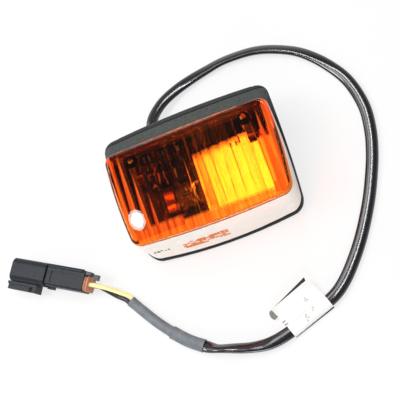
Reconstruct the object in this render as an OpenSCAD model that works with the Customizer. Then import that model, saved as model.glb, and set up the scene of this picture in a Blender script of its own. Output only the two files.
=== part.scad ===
// Side marker lamp: an amber block lens on a black two-tier housing. A flat twin lead leaves the
// housing's upper side and ends in a sealed two-way connector.
// Millimetres. The flat back lies on z = 0, +Z points out of the lens, +Y to the lamp's upper side.

/* [Housing] */
// Width of the rear tier between its corners
body_w = 86; // [80:1:96]
// Depth of the whole lamp from its lower side to its upper side
lamp_d = 70.8; // [64:0.2:80]
// Height of the rear tier at its upper side
body_h = 28.5; // [24:0.5:30]
// Width of the front tier between its corners
bezel_w = 89.6; // [89:0.2:96]
// Place of the front tier's upper edge
bezel_y = 30.2; // [28:0.2:32]
// Height of the front tier's lower edge, at its upper side
bezel_z = 31; // [30:0.5:34]
// Thickness of the moulded walls
wall = 2.4; // [1.8:0.1:3]
// Thickness of the floor
floor_t = 2.2; // [1.8:0.1:2.6]
// Height of the rim at the lower side
rim_h = 2.4; // [2.2:0.1:4]
// Height of the parting plane at the lens's upper edge
part_h = 37.4; // [35:0.2:38]

/* [Lens] */
// Width of the lens's front face between its corners
lens_w = 87; // [84:0.5:88]
// Place of the front face's lower edge
lens_y0 = -30.4; // [-31:0.1:-28]
// Place of the front face's upper edge
lens_y1 = 18.1; // [16:0.1:20]
// Height of the front face's lower edge
lens_z0 = 33; // [28:0.5:36]
// Height of the front face's upper edge
lens_z1 = 41.8; // [40:0.2:46]
// Wall of the lens
lens_wall = 2.3; // [1.8:0.1:3]
// Radius round the front face
lens_edge = 1.6; // [0.8:0.1:2]
// Spacing of the flutes inside the front face
flute_pitch = 5; // [3:0.5:8]
// How far a flute stands proud of the front face's inside
flute_depth = 0.35; // [0.2:0.05:0.6]
// Thickness of the seal under the lens
gasket_t = 0.9; // [0.5:0.1:1.5]

/* [Fastening] */
// Distance between the two mounting inserts
insert_pitch = 75; // [74:0.5:76]
// Distance of the mounting inserts from the lamp's upper side
insert_edge = 13.4; // [12.4:0.5:14.4]
// Radius of an insert's thread
insert_r = 2.5; // [2:0.1:3]
// Outside radius of an insert
insert_outer_r = 3.6; // [3.4:0.1:4.2]
// Height of an insert
insert_h = 9; // [6:0.5:12]
// Distance between the two lens screws
screw_pitch = 62; // [60:1:64]
// Place of the lens screws
screw_y = 11.7; // [11:0.1:12]
// Radius of a lens screw's shank
screw_r = 1.5; // [1.2:0.1:2]

/* [Bulb] */
// Place of the bulb's axis
bulb_y = -7; // [-10:0.5:-4]
// Height of the bulb's axis
bulb_z = 14.5; // [14:0.5:18]
// Radius of the bulb's glass
glass_r = 8.2; // [7:0.1:9]
// Radius of the bulb's cap
cap_r = 7.4; // [7:0.1:7.8]
// Place of the glass's centre
glass_x = -12; // [-14:0.5:-8]

/* [Lead] */
// Width of the flat twin lead
flex_w = 6.6; // [5:0.1:8]
// Thickness of the flat twin lead
flex_t = 3.4; // [2.6:0.1:4]
// Place of the lead's exit along the upper side
exit_x = -23; // [-23:0.5:-15]
// Height of the lead's exit
exit_z = 8; // [6:0.5:12]
// Width of the wide sleeve
wide_w = 7.2; // [6.8:0.1:8]
// Width of the narrow sleeve
narrow_w = 6; // [5:0.1:7]
// Radius of a single wire
wire_r = 1.25; // [0.8:0.05:1.5]

/* [Connector] */
// Length of the mating shroud
shroud_l = 21.4; // [18:0.2:25]
// Width of the mating shroud
shroud_w = 13; // [12:0.2:15]
// Length of the rear body
plug_l = 23.6; // [20:0.2:28]
// Width of the rear body
plug_w = 11.6; // [10.4:0.2:13]
// Wall of the shroud
shroud_t = 1.3; // [1:0.1:1.6]

/* [Tag] */
// Length of the tag along the lead
tag_l = 25.5; // [18:0.5:26]
// Width of the tag's flag
tag_w = 11.2; // [8:0.2:16]
// Thickness of the tag's film
tag_t = 0.3; // [0.2:0.05:0.5]

/* [Hidden] */
$fn = 48;
eps = 0.01;
fit = 0.1;

// Outlines: points round a corner and along a side
corner_n = 9;
side_n = 8;
half_d = lamp_d / 2;

insert_y = half_d - insert_edge;

// Every outline widens a little towards the upper side, about the middle of the front face
taper = 0.0008;
taper_y = (lens_y0 + lens_y1) / 2;

// Sideways and lengthwise bow of each outline
side_bow = 1.3;
rear_bow = 2;
bezel_bow = 1.5;
foot_bow = 3.2;
lens_low_bow = 1.5;
lens_top_bow = 0.6;

// The slanted planes as height at y = 0 and slope
part_m = (part_h - rim_h) / (lens_y1 + 1.3 + half_d);
part_a = rim_h + part_m * half_d;
front_m = (lens_z1 - lens_z0) / (lens_y1 - lens_y0);
front_a = lens_z0 - front_m * lens_y0;

// The lens's walls run from a low outline to the front outline
foot_w = 88.4;
foot_gap = 0.5;
foot_ease = 0.1;
foot_y0 = foot_bow - half_d + foot_gap;
lens_draft_y = 2.2;
low_z = rim_h;
high_z = lens_z1;

seat_clear = 0.3;
seat_t = 2.4;
tier_t = 4.5;
// Drop of the rear tier's sloping shoulder, and of its lower edge
shoulder_h = 3.2;
shoulder_edge = 0.8;
screw_x = screw_pitch / 2;
post_r = 3.4;
boss_r = post_r + 0.8;
post_base = 12;
head_r = 3;
head_h = 2;
head_z = 0.6;
small_screw_r = 0.85;
pan_h = 1;
pan_drive = 0.4;

// Reflector trough: it starts under the bulb's tip and lies about parallel to the front face
mirror_x0 = glass_x + glass_r - 1.7;
mirror_x1 = lens_w / 2 - 6;
mirror_gap = 2.6;
mirror_y0 = lerp(foot_y0, lens_y0, 0.3) + lens_wall + mirror_gap;
mirror_y1 = lens_y1 - 2.4;
mirror_z = floor_t + 1.6;
mirror_t = 1.2;
mirror_f = 105;
mirror_v = mirror_x0 - 25;
mirror_tilt = 9;
mirror_lip = 3;
mirror_n = 16;
mirror_boss_r = 2.8;
mirror_sink = 0.4;

// Bulb holder
holder_x0 = -38.5;
holder_x1 = -24;
holder_w = 19;
socket_r = cap_r + 0.3;
contact_room = 3.4;
cap_pin = 5;
cap_x0 = holder_x0 + 5;
cap_x1 = glass_x - 5.5;
glass_t = 0.7;
// Slots in the holder for the contact at the back and the contact at the side
live_slot = [3, 5.2, 11.2];
earth_slot = [2.8, 3, 10];

// Clamp over the lead inside the housing
clamp_y = half_d - 13.4;
clamp_l = 7;
clamp_t = 2.4;
clamp_screw = flex_w / 2 + 3;
clamp_post_r = 2.6;
clamp_screw_l = 9.5;
tail_y0 = clamp_y - clamp_l / 2 - 5;
flange_t = 2;
flex_start = half_d + flange_t;

// Single wires and terminals
plug_z = 6.6;
pin_gap = 4.2;
pin_y = 0.9;
plug_x = -81.6;
plug_y = -31.6;
plug_turn = 152;
seal_out = 2.4;
seal_w = 9.4;
seal_lip = 0.9;
inner_r = 0.8;
slot_drop = 9.5;
sleeve_t = 4.6;
// Locking wedge beside the seal
lock_y = -5.1;
lock_w = 1.5;
lock_z = 1.4;
lock_h = 3.2;
lock_l = 9;
// A point on a wire's line into the connector, x behind its rear face
function at_world(x, s) =
    [plug_x + x * cos(plug_turn) - pin_y * sin(plug_turn),
     plug_y + x * sin(plug_turn) + pin_y * cos(plug_turn), plug_z + s * pin_gap / 2];

// The lead's centre line, from the housing to the end of the narrow sleeve
FLEX = [[exit_x, half_d, exit_z], [exit_x, 40.5, exit_z], [-22, 45.5, 7.3], [-18.8, 50.8, 6.1],
        [-12.6, 56.6, 4.7], [-3.5, 61.3, 3.4], [6, 64.4, 2.5], [15, 66.4, 1.9], [25, 67.9, 1.7],
        [35, 67.8, 1.7], [45.5, 66.4, 1.7], [55.5, 62.8, 1.7], [67, 56.2, 1.7], [75.5, 48, 1.7],
        [82.5, 38.2, 1.7], [87, 29, 1.7], [89.5, 19, 1.7], [90.3, 8, 1.7], [88.6, -4, 1.7],
        [85.8, -14, 1.7], [82, -24, 1.7], [75, -39, 1.7], [65.5, -55, 1.7], [56.5, -67, 1.7],
        [48.5, -75.5, 1.9], [41, -80.6, 2.2], [28.5, -85.4, 2.2], [16, -90.2, 2.2],
        [5, -92.4, 1.8], [-5, -91.6, 1.7], [-15, -89, 1.9], [-23, -86.6, 2.2],
        [-28.5, -83.5, 2.4]];
WIDE = [[-28.5, -83.5, 2.4], [-35.8, -78.4, 2.4], [-43, -71.6, 2.4]];
NARROW = [[-43, -71.6, 2.4], [-48.2, -65.8, 2.4], [-52.8, -60, 2.4], [-61, -48.6, 2.4]];
LEAD = concat(FLEX, [WIDE[1]], NARROW);
wide_i = len(FLEX) - 1;
narrow_i = wide_i + 2;
// Both wires' centre lines, from the narrow sleeve to the seal
YELLOW = [[-60, -47.7, 2.4], [-61.8, -45.2, 2.8], [-66.8, -41.4, 4.7], [-71.2, -38.3, 7.4],
          at_world(-7, 1), at_world(-5, 1), at_world(-seal_out - eps, 1)];
BLACK = [[-62.2, -49.2, 2.4], [-64, -46.7, 2.2], [-68.2, -43.2, 2.4], [-71.6, -39.8, 3.6],
         at_world(-7, -1), at_world(-5, -1), at_world(-seal_out - eps, -1)];
// Both inner leads' centre lines
LIVE = [[exit_x - 1.5, tail_y0 - eps, exit_z], [exit_x - 1.5, tail_y0 - 1.1, exit_z],
        [exit_x - 1.5, tail_y0 - 2.2, exit_z],
        [-26, 8.4, 7.2], [-30.4, 5.8, 6.2], [-37.6, 5.2, 5.6], [-40.4, 1.6, 6.4], [-40.4, -3.6, 8.6],
        [-39.6, -6.6, 9.8], [-38.6, -7, 9.8], [-38, -7, 9.8], [-37.4 - eps, -7, 9.8]];
EARTH = [[exit_x + 1.5, tail_y0 - eps, exit_z], [exit_x + 1.5, tail_y0 - 1.1, exit_z],
         [exit_x + 1.5, tail_y0 - 2.2, exit_z],
         [-22.6, 9.2, 7], [-24.8, 7.4, 5.5], [-26, 6.3, 5.25], [-26, 5.2, 5.25], [-26, 4 + eps, 5.25]];

function lerp(a, b, t) = a + (b - a) * t;
function arc(cx, cy, r, a0) =
    [for (k = [0:corner_n]) [cx + r * cos(a0 + 90 * k / corner_n), cy + r * sin(a0 + 90 * k / corner_n)]];
function side(p, q) = [for (k = [1:side_n - 1]) lerp(p, q, k / side_n)];

// Rounded rectangle with interior side points, anticlockwise from its lower right corner
function rounded(w, y0, y1, r0, r1) =
    let (h = w / 2)
    concat(arc(h - r0, y0 + r0, r0, -90), side([h, y0 + r0], [h, y1 - r1]),
           arc(h - r1, y1 - r1, r1, 0), side([h - r1, y1], [r1 - h, y1]),
           arc(r1 - h, y1 - r1, r1, 90), side([-h, y1 - r1], [-h, y0 + r0]),
           arc(r0 - h, y0 + r0, r0, 180), side([r0 - h, y0], [h - r0, y0]));

// The same outline with its four sides bowed out, and tapered
function bowed(w, y0, y1, r0, r1, b0, b1, bs) =
    let (h = w / 2, m = (y0 + y1) / 2, d = (y1 - y0) / 2)
    [for (p = rounded(w, y0, y1, r0, r1))
        let (u = p.x / h, v = (p.y - m) / d)
        [p.x * (1 + taper * (p.y - taper_y)) + bs * u * (1 - v * v),
         p.y + v * (v > 0 ? b1 : b0) * (1 - u * u)]];

function body_outline(inset = 0) =
    bowed(body_w - 2 * inset, foot_bow - half_d + inset, half_d - rear_bow - inset,
          6 - inset / 2, 6.5 - inset / 2, foot_bow, rear_bow, side_bow);
function bezel_outline(inset = 0) =
    bowed(bezel_w - 2 * inset, foot_bow - half_d + inset, bezel_y - inset,
          6.5 - inset / 2, 5.5 - inset / 2, foot_bow, bezel_bow, side_bow);
function lens_low(inset) =
    bowed(foot_w - 2 * inset, foot_y0 + inset, lens_y1 + lens_draft_y - inset,
          6 - inset / 2, 5 - inset / 2, foot_bow - foot_ease, lens_top_bow, side_bow);
function lens_high(inset) =
    bowed(lens_w - 2 * inset, lens_y0 - 0.9 * (1 - lens_z0 / lens_z1) + inset, lens_y1 - inset,
          4.5 - inset / 2, 4 - inset / 2, lens_low_bow, lens_top_bow, side_bow);

// Inside of the rear tier, its upper edge pulled in
function cavity_outline(pull = 0) =
    bowed(body_w - 2 * wall, foot_y0 + lens_wall + 1, half_d - rear_bow - wall - pull,
          5, 5.5, foot_bow - foot_ease, rear_bow, side_bow);

// The lens's drafted wall, cut by the plane z = a + m * y
function lens_ring(a, m, inset) =
    let (lo = lens_low(inset), hi = lens_high(inset))
    [for (i = [0:len(lo) - 1])
        let (p = lo[i], q = hi[i],
             t = (a + m * p.y - low_z) / (high_z - low_z - m * (q.y - p.y)))
        [lerp(p.x, q.x, t), lerp(p.y, q.y, t), lerp(low_z, high_z, t)]];

function flat_ring(outline, z) = [for (p = outline) [p.x, p.y, z]];
function part_z(y) = part_a + part_m * y;
// A ring that follows the parting plane at a drop, but no higher than top and no lower than low
function seat_ring(outline, drop, top, low) =
    [for (p = outline) [p.x, p.y, max(min(part_z(p.y) - drop, top), low)]];

// Skin through a row of rings, capped at both ends, or joined end to end
module loft(rings, ends = true) {
    n = len(rings[0]);
    last = len(rings) - 1;
    points = [for (ring = rings) each ring];
    walls = [for (j = [0:last - 1]) for (i = [0:n - 1])
        [j * n + i, (j + 1) * n + i, (j + 1) * n + (i + 1) % n, j * n + (i + 1) % n]];
    joint = [for (i = [0:n - 1]) [last * n + i, i, (i + 1) % n, last * n + (i + 1) % n]];
    caps = [[for (i = [0:n - 1]) i], [for (i = [n - 1:-1:0]) last * n + i]];
    polyhedron(points, concat(walls, ends ? caps : joint), convexity = 8);
}

// Smooth path through hand-set points
function path_point(pts, k, t) =
    let (n = len(pts) - 1, a = pts[max(k - 1, 0)], b = pts[k], c = pts[k + 1], d = pts[min(k + 2, n)])
    0.5 * (2 * b + (c - a) * t + (2 * a - 5 * b + 4 * c - d) * t * t
           + (3 * b - a - 3 * c + d) * t * t * t);
function smooth(pts, steps) =
    concat([for (k = [0:len(pts) - 2]) for (j = [0:steps - 1]) path_point(pts, k, j / steps)],
           [pts[len(pts) - 1]]);
function unit(v) = v / norm(v);
function heading(line, i) = unit(line[min(i + 1, len(line) - 1)] - line[max(i - 1, 0)]);

// Tube of oval section along a path from one of its points to another, its width kept level
module sweep(line, w, h, sides = 8, first = 0, last = -1) {
    end = last < 0 ? len(line) - 1 : last;
    loft([for (i = [first:end])
        let (d = heading(line, i), across = unit(cross([0, 0, 1], d)), up = cross(d, across))
        [for (k = [0:sides - 1])
            let (a = 360 * (k + 0.5) / sides)
            line[i] + (across * cos(a) * w + up * sin(a) * h) / 2 / cos(180 / sides)]]);
}

// Flat-sided oval, standing on z with its long way along x, extruded along y
module flat_oval(w, t, y0, y1) {
    for (s = [-1, 1])
        translate([s * (w - t) / 2, y0, 0])
            rotate([-90, 0, 0])
                cylinder(r = t / 2, h = y1 - y0);
    translate([-(w - t) / 2, y0, -t / 2])
        cube([w - t, y1 - y0, t]);
}

// Rounded bar along x, centred on y and z
module bar_x(w, h, r, x0, x1) {
    translate([x0, 0, 0])
        rotate([90, 0, 90])
            linear_extrude(x1 - x0)
                union() {
                    square([w - 2 * r, h], center = true);
                    square([w, h - 2 * r], center = true);
                    for (sx = [-1, 1], sy = [-1, 1])
                        translate([sx * (w / 2 - r), sy * (h / 2 - r)])
                            circle(r);
                }
}

module at_pair(pitch, y) {
    for (s = [-1, 1])
        translate([s * pitch / 2, y, 0])
            children();
}

// Black moulded housing: rear tier, front tier with a bevel, seat for the seal, and a hollow behind
module housing_shell() {
    shelf = lens_ring(part_a - seat_t, part_m, lens_wall + 1);
    loft([flat_ring(body_outline(0.5), 0),
          flat_ring(body_outline(), 0.5),
          seat_ring(body_outline(), tier_t + 1, body_h - shoulder_h, rim_h - 1.6),
          seat_ring(body_outline(0.5), tier_t + 0.2, body_h - shoulder_h + shoulder_edge, rim_h - 1.4),
          seat_ring(bezel_outline(), tier_t, bezel_z - 1.4, rim_h - 1.2),
          seat_ring(bezel_outline(), 1.2, bezel_z, rim_h - 0.5),
          lens_ring(part_a, part_m, -seat_clear),
          lens_ring(part_a, part_m, lens_wall + 1),
          [for (p = shelf) [p.x, p.y, max(p.z, floor_t + 0.6)]],
          seat_ring(cavity_outline(2.6), tier_t, body_h - 1.4, floor_t + 0.4),
          seat_ring(cavity_outline(), tier_t + 3.5, body_h - shoulder_h - 1, floor_t + 0.2),
          flat_ring(cavity_outline(), floor_t)]);
}

module housing() {
    color("#23282a")
    difference() {
        union() {
            housing_shell();
            at_pair(insert_pitch, insert_y)
                cylinder(r = insert_outer_r + 1.6, h = insert_h + 1.5);
            at_pair(screw_pitch, screw_y)
                cylinder(r = boss_r, h = post_base - fit);
            for (s = [-1, 1])
                translate([exit_x + s * clamp_screw, clamp_y, floor_t - eps])
                    cylinder(r = clamp_post_r, h = exit_z - flex_t / 2 - floor_t + eps);
            translate([exit_x - flex_w / 2 - 1, clamp_y - clamp_l / 2, floor_t - eps])
                cube([flex_w + 2, clamp_l, exit_z - flex_t / 2 - floor_t - fit]);
            for (x = [2, 20])
                translate([x, half_d - rear_bow - 11, floor_t - eps])
                    cube([1.6, 10, 14]);
            translate([exit_x, 0, exit_z])
                flat_oval(flex_w + 7, flex_t + 7, half_d - rear_bow - 2, half_d);
        }
        at_pair(insert_pitch, insert_y)
            translate([0, 0, -eps])
                cylinder(r = insert_outer_r, h = insert_h + eps);
        at_pair(screw_pitch, screw_y) {
            translate([0, 0, -eps])
                cylinder(r = screw_r + 0.2, h = post_base);
            translate([0, 0, -eps])
                cylinder(r = head_r + 0.2, h = head_z + head_h + 2 * eps);
        }
        for (s = [-1, 1])
            translate([exit_x + s * clamp_screw, clamp_y, floor_t])
                cylinder(r = 0.9, h = 12);
        translate([exit_x, 0, exit_z])
            flat_oval(flex_w + 4, flex_t + 4, half_d - rear_bow - wall - 3, half_d + 1);
        at_mirror_screws()
            translate([0, 0, 0.8])
                cylinder(r = 0.9, h = 8);
        back_pockets();
    }
}

// Shallow pockets in the back leave a rim and ribs
module back_pockets() {
    pocket_x = 13;
    pocket_y = 9;
    for (i = [-1, 0, 1], j = [-1, 1])
        if (i == 0 || j < 0)
            translate([i * (pocket_x + 3) - pocket_x / 2, j * (pocket_y / 2 + 7) - pocket_y / 2, -eps])
                cube([pocket_x, pocket_y, 0.8]);
}

// Flutes: shallow convex ribs along the lamp's upright way, on the inside of the front face
module flutes() {
    end_gap = 0.3;
    face_y0 = lens_y0 + lens_wall + end_gap;
    face_y1 = lens_y1 - lens_wall - end_gap;
    steps = 8;
    sunk = 0.4;
    rib_r = (flute_pitch * flute_pitch / 4 + flute_depth * flute_depth) / (2 * flute_depth);
    count = floor((lens_w - 2 * lens_wall - 2 * end_gap) / flute_pitch);
    span = count * flute_pitch;
    tilt = atan(front_m);
    crests = [for (k = [0:count - 1], j = [0:steps - 1])
        let (u = (j / steps - 0.5) * flute_pitch)
        [(k + 0.5) * flute_pitch - span / 2 + u, sqrt(rib_r * rib_r - u * u) - rib_r + flute_depth]];
    translate([0, face_y0, front_a + front_m * face_y0 - lens_wall / cos(tilt)])
        rotate([tilt - 90, 0, 0])
            linear_extrude((face_y1 - face_y0) / cos(tilt))
                polygon(concat([[-span / 2, -sunk]], crests, [[span / 2, 0], [span / 2, -sunk]]));
}

// Amber lens: drafted cup on the slanted parting plane, with two screw posts behind its front face
module lens() {
    foot_a = part_a + gasket_t;
    edge = [for (k = [0:4]) 90 * k / 4];
    color("#ff7a14")
    difference() {
        union() {
            loft(concat([lens_ring(front_a - lens_wall, front_m, lens_wall),
                         lens_ring(foot_a, part_m, lens_wall),
                         lens_ring(foot_a, part_m, 0)],
                        [for (a = edge)
                            lens_ring(front_a - lens_edge * (1 - sin(a)), front_m, lens_edge * (1 - cos(a)))]));
            flutes();
            at_pair(screw_pitch, screw_y)
                translate([0, 0, post_base])
                    cylinder(r = post_r, h = front_a + front_m * screw_y - lens_wall / 2 - post_base);
        }
        at_pair(screw_pitch, screw_y)
            translate([0, 0, post_base - eps])
                cylinder(r = screw_r, h = 12);
    }
}

// Black rubber seal between the lens's foot and the housing's seat
module lens_gasket() {
    top = part_a + gasket_t - fit / 2;
    color("#17191a")
    loft([lens_ring(part_a + fit / 2, part_m, 0.2), lens_ring(top, part_m, 0.2),
          lens_ring(top, part_m, lens_wall + 0.6), lens_ring(part_a + fit / 2, part_m, lens_wall + 0.6)],
         ends = false);
}

// The trough's curve across, and its height at a place
function mirror_curve(x) = (pow(x - mirror_v, 2) - pow(mirror_x0 - mirror_v, 2)) / (4 * mirror_f);
function mirror_at(x, y) =
    mirror_z + tan(mirror_tilt) * (y - mirror_y0) + mirror_curve(x) / cos(mirror_tilt);

// A strip of the trough along its lower edge, raised at its lower edge by a lip
module mirror_strip(length, lip) {
    xs = [for (k = [0:mirror_n]) lerp(mirror_x0, mirror_x1, k / mirror_n)];
    under = [for (x = xs) [x, mirror_curve(x) - mirror_t]];
    over = [for (k = [mirror_n:-1:0]) [xs[k], mirror_curve(xs[k]) + lip]];
    translate([0, mirror_y0, mirror_z])
        rotate([mirror_tilt, 0, 0])
            translate([0, length, 0])
                rotate([90, 0, 0])
                    linear_extrude(length)
                        polygon(concat(under, over));
}

// Metallised trough beside the bulb, with a lip at its lower end, two fixing feet and a notch for a post
module reflector() {
    color("#d8dbe0")
    difference() {
        union() {
            mirror_strip((mirror_y1 - mirror_y0) / cos(mirror_tilt), 0);
            mirror_strip(mirror_t, mirror_lip);
            at_mirror_screws()
                translate([0, 0, floor_t + fit])
                    cylinder(r = mirror_boss_r, h = $seat_z - floor_t - fit - 0.5);
        }
        at_mirror_screws() {
            translate([0, 0, floor_t])
                cylinder(r = 1.1, h = 20);
            translate([0, 0, $seat_z])
                cylinder(r = 2.2, h = 5);
        }
        translate([screw_x, screw_y, floor_t]) {
            cylinder(r = boss_r + 0.5, h = 20);
            cube([20, 20, 20]);
        }
    }
}

module at_mirror_screws() {
    for (p = [[mirror_x0 + 11.5, mirror_y0 + 6], [mirror_x0 + 27.5, mirror_y1 - 5]]) {
        $seat_z = mirror_at(p.x, p.y) - mirror_sink;
        translate([p.x, p.y, 0])
            children();
    }
}

module pan_screw(r, length, top) {
    translate([0, 0, top - length])
        cylinder(r = r, h = length);
    translate([0, 0, top])
        difference() {
            cylinder(r1 = 2 * r, r2 = 1.5 * r, h = pan_h);
            translate([0, 0, pan_h])
                cube([3 * r, 0.6 * r, 2 * pan_drive], center = true);
        }
}

module reflector_screws() {
    color("silver")
    at_mirror_screws()
        pan_screw(small_screw_r, $seat_z - 1, $seat_z);
}

// Black holder block with a socket bore along x
module bulb_holder() {
    color("#1d2022")
    difference() {
        union() {
            translate([holder_x0, bulb_y - holder_w / 2, floor_t + fit])
                cube([holder_x1 - holder_x0, holder_w, bulb_z - floor_t - fit]);
            translate([holder_x0, bulb_y, bulb_z])
                rotate([0, 90, 0])
                    cylinder(r = holder_w / 2, h = holder_x1 - holder_x0);
        }
        translate([cap_x0 - contact_room, bulb_y, bulb_z])
            rotate([0, 90, 0])
                cylinder(r = socket_r, h = holder_x1 - cap_x0 + contact_room + 1);
        translate([holder_x0 - 1, bulb_y - live_slot.y / 2, bulb_z - live_slot.z / 2])
            cube(live_slot);
        translate([holder_x1 - contact_room, bulb_y + socket_r - 1, bulb_z - slot_drop])
            cube(earth_slot);
    }
}

module bulb_cap() {
    color("#c9b26a")
    translate([cap_x0, bulb_y, bulb_z])
        rotate([0, 90, 0]) {
            translate([0, 0, -1.4])
                cylinder(r = 1.8, h = 1.4);
            cylinder(r1 = cap_r - 2, r2 = cap_r, h = 2);
            translate([0, 0, 2])
                cylinder(r = cap_r, h = cap_x1 - cap_x0 - 2);
            for (a = [0, 180])
                rotate([0, 0, a])
                    translate([cap_r - 0.4, 0, cap_pin])
                        rotate([0, 90, 0])
                            cylinder(r = 0.8, h = 0.6);
        }
}

// Blown glass: a thin globe turned round the bulb's axis, cut flat where it meets the cap
module bulb_glass() {
    foot_x = cap_x1 - glass_x + fit;
    color("#f2f4f4")
    translate([glass_x, bulb_y, bulb_z])
        rotate([0, 90, 0])
            rotate_extrude()
                difference() {
                    intersection() {
                        circle(glass_r);
                        translate([0, foot_x])
                            square([glass_r, 2 * glass_r]);
                    }
                    intersection() {
                        circle(glass_r - glass_t);
                        translate([-eps, foot_x + 1])
                            square([glass_r, 2 * glass_r]);
                    }
                }
}

// Coiled filament on two support wires that rise from the glass's foot
module bulb_filament() {
    foot_x = cap_x1 - glass_x + fit + 1.1;
    color("#b8b8b8")
    translate([glass_x, bulb_y, bulb_z])
        rotate([0, 90, 0]) {
            for (s = [-1, 1])
                translate([s * 2.6, 0, foot_x])
                    cylinder(r = 0.3, h = 3.4 - foot_x);
            translate([-2.6, 0, 3.2])
                rotate([0, 90, 0])
                    cylinder(r = 0.5, h = 5.2);
            translate([0, 0, foot_x])
                cylinder(r = 1.2, h = 2);
            translate([-2.6, -0.5, foot_x + 0.6])
                cube([5.2, 1, 0.8]);
        }
}

// Bent strip that presses on the cap's centre contact
module live_contact() {
    tip_x = cap_x0 - 1.4 - fit;
    color("#d6c27a")
    translate([tip_x, bulb_y, 0]) {
        translate([-0.5, -2, bulb_z - 4])
            cube([0.5, 4, 8]);
        translate([-2.4, -2, bulb_z - 4])
            cube([2.4, 4, 0.5]);
        translate([-2.4, -2, bulb_z - 5.6])
            cube([0.5, 4, 1.8]);
    }
}

// Side strip that presses on the cap's shell
module earth_contact() {
    strip_y = bulb_y + cap_r + fit;
    color("#d6c27a") {
        translate([holder_x1 - 3, strip_y, bulb_z - slot_drop])
            cube([2, 0.5, slot_drop]);
        translate([holder_x1 - 3, strip_y, bulb_z - slot_drop])
            cube([2, 4 - strip_y, 0.5]);
    }
}

module lens_screws() {
    color("silver")
    at_pair(screw_pitch, screw_y)
        difference() {
            union() {
                translate([0, 0, head_z])
                    cylinder(r = head_r, h = head_h);
                translate([0, 0, head_z])
                    cylinder(r = screw_r - fit, h = post_base + 9);
            }
            for (a = [0, 90])
                rotate([0, 0, a])
                    cube([3.6, 0.9, 3], center = true);
        }
}

module mount_inserts() {
    color("#c8a24a")
    at_pair(insert_pitch, insert_y)
        difference() {
            cylinder(r = insert_outer_r, h = insert_h);
            translate([0, 0, -eps])
                cylinder(r = insert_r, h = insert_h - 1.5 + eps);
            for (z = [3, 5.5])
                translate([0, 0, z])
                    rotate_extrude()
                        translate([insert_outer_r, 0])
                            circle(0.35, $fn = 16);
        }
}

// Bridge that presses the lead onto its bed
module cable_clamp() {
    bridge_z = exit_z + flex_t / 2 + fit;
    color("#1d2022")
    translate([exit_x, clamp_y, 0])
        difference() {
            union() {
                translate([-clamp_screw - clamp_post_r, -clamp_l / 2, bridge_z])
                    cube([2 * (clamp_screw + clamp_post_r), clamp_l, clamp_t]);
                for (s = [-1, 1])
                    translate([s * clamp_screw, 0, exit_z - flex_t / 2 + fit])
                        cylinder(r = clamp_post_r, h = flex_t + fit);
            }
            for (s = [-1, 1])
                translate([s * clamp_screw, 0, 0])
                    cylinder(r = 1.1, h = 30);
        }
}

module clamp_screws() {
    top = exit_z + flex_t / 2 + fit + clamp_t;
    color("silver")
    for (s = [-1, 1])
        translate([exit_x + s * clamp_screw, clamp_y, 0])
            pan_screw(small_screw_r, clamp_screw_l, top);
}

// The jacketed end of the lead, from the clamp out through the grommet
module flex_tail() {
    color("#15171a")
    translate([exit_x, 0, exit_z])
        flat_oval(flex_w, flex_t, tail_y0, half_d);
}

module live_lead() {
    color("#d8c62a")
    sweep(smooth(LIVE, 2), 2 * inner_r, 2 * inner_r);
}

module earth_lead() {
    color("#15171a")
    sweep(smooth(EARTH, 2), 2 * inner_r, 2 * inner_r);
}

// Rubber grommet: a body in the wall's slot, with a flange outside it
module cable_grommet() {
    color("#1a1c1e")
    translate([exit_x, 0, exit_z])
        difference() {
            union() {
                flat_oval(flex_w + 4 - 2 * fit, flex_t + 4 - 2 * fit, half_d - rear_bow - wall - 2, flex_start);
                flat_oval(flex_w + 6.4, flex_t + 6.4, half_d + eps, flex_start);
            }
            flat_oval(flex_w + 2 * fit, flex_t + 2 * fit, half_d - rear_bow - wall - 4, flex_start + 1);
        }
}

module flex() {
    color("#15171a")
    sweep(LEAD, flex_w, flex_t, 12, 0, wide_i);
}

module wide_sleeve() {
    color("#565862")
    sweep(LEAD, wide_w, sleeve_t, 12, wide_i, narrow_i);
}

module narrow_sleeve() {
    color("#565862")
    sweep(LEAD, narrow_w, sleeve_t, 12, narrow_i);
}

module yellow_wire() {
    color("#f0df5a")
    sweep(smooth(YELLOW, 2), 2 * wire_r, 2 * wire_r);
}

module black_wire() {
    color("#26292c")
    sweep(smooth(BLACK, 2), 2 * wire_r, 2 * wire_r);
}

module at_plug() {
    translate([plug_x, plug_y, plug_z])
        rotate([0, 0, plug_turn])
            children();
}

module at_pins() {
    for (s = [-1, 1])
        translate([0, pin_y, s * pin_gap / 2])
            children();
}

// Connector housing: open mating shroud, rear body with a rail, panels and two wire cavities
module connector_housing() {
    bore_w = shroud_w - 2 * shroud_t;
    color("#2c3033")
    at_plug()
        difference() {
            union() {
                bar_x(shroud_w, 2 * plug_z, 3.6, plug_l, plug_l + shroud_l);
                bar_x(plug_w - 1, 2 * plug_z - 2.6, 2.2, plug_l - 1, plug_l + 1);
                bar_x(plug_w, 2 * plug_z - 1.6, 1.6, 0, plug_l - 0.8);
                translate([0, 0.7 - plug_w / 2, 4.4])
                    bar_x(2.4, 3.6, 1.1, 1.5, plug_l - 1);
                translate([plug_l - 4, plug_w / 2 - 0.4, -3])
                    cube([4, 1.8, 2.4]);
            }
            bar_x(bore_w, 2 * (plug_z - shroud_t), 2.6, plug_l + 3, plug_l + shroud_l + 1);
            translate([0, pin_y, 0])
                bar_x(seal_w - 1.6, 9.4, 1.6, -1, 7);
            at_pins()
                rotate([0, 90, 0])
                    cylinder(r = 1.5, h = plug_l + 5);
            translate([3, -2.6, plug_z - 1.2])
                cube([plug_l - 6.5, 6.6, 1]);
            translate([-1, lock_y - fit, lock_z - fit])
                cube([lock_l + 1 + fit, lock_w + 2 * fit, lock_h + 2 * fit]);
        }
}

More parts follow.
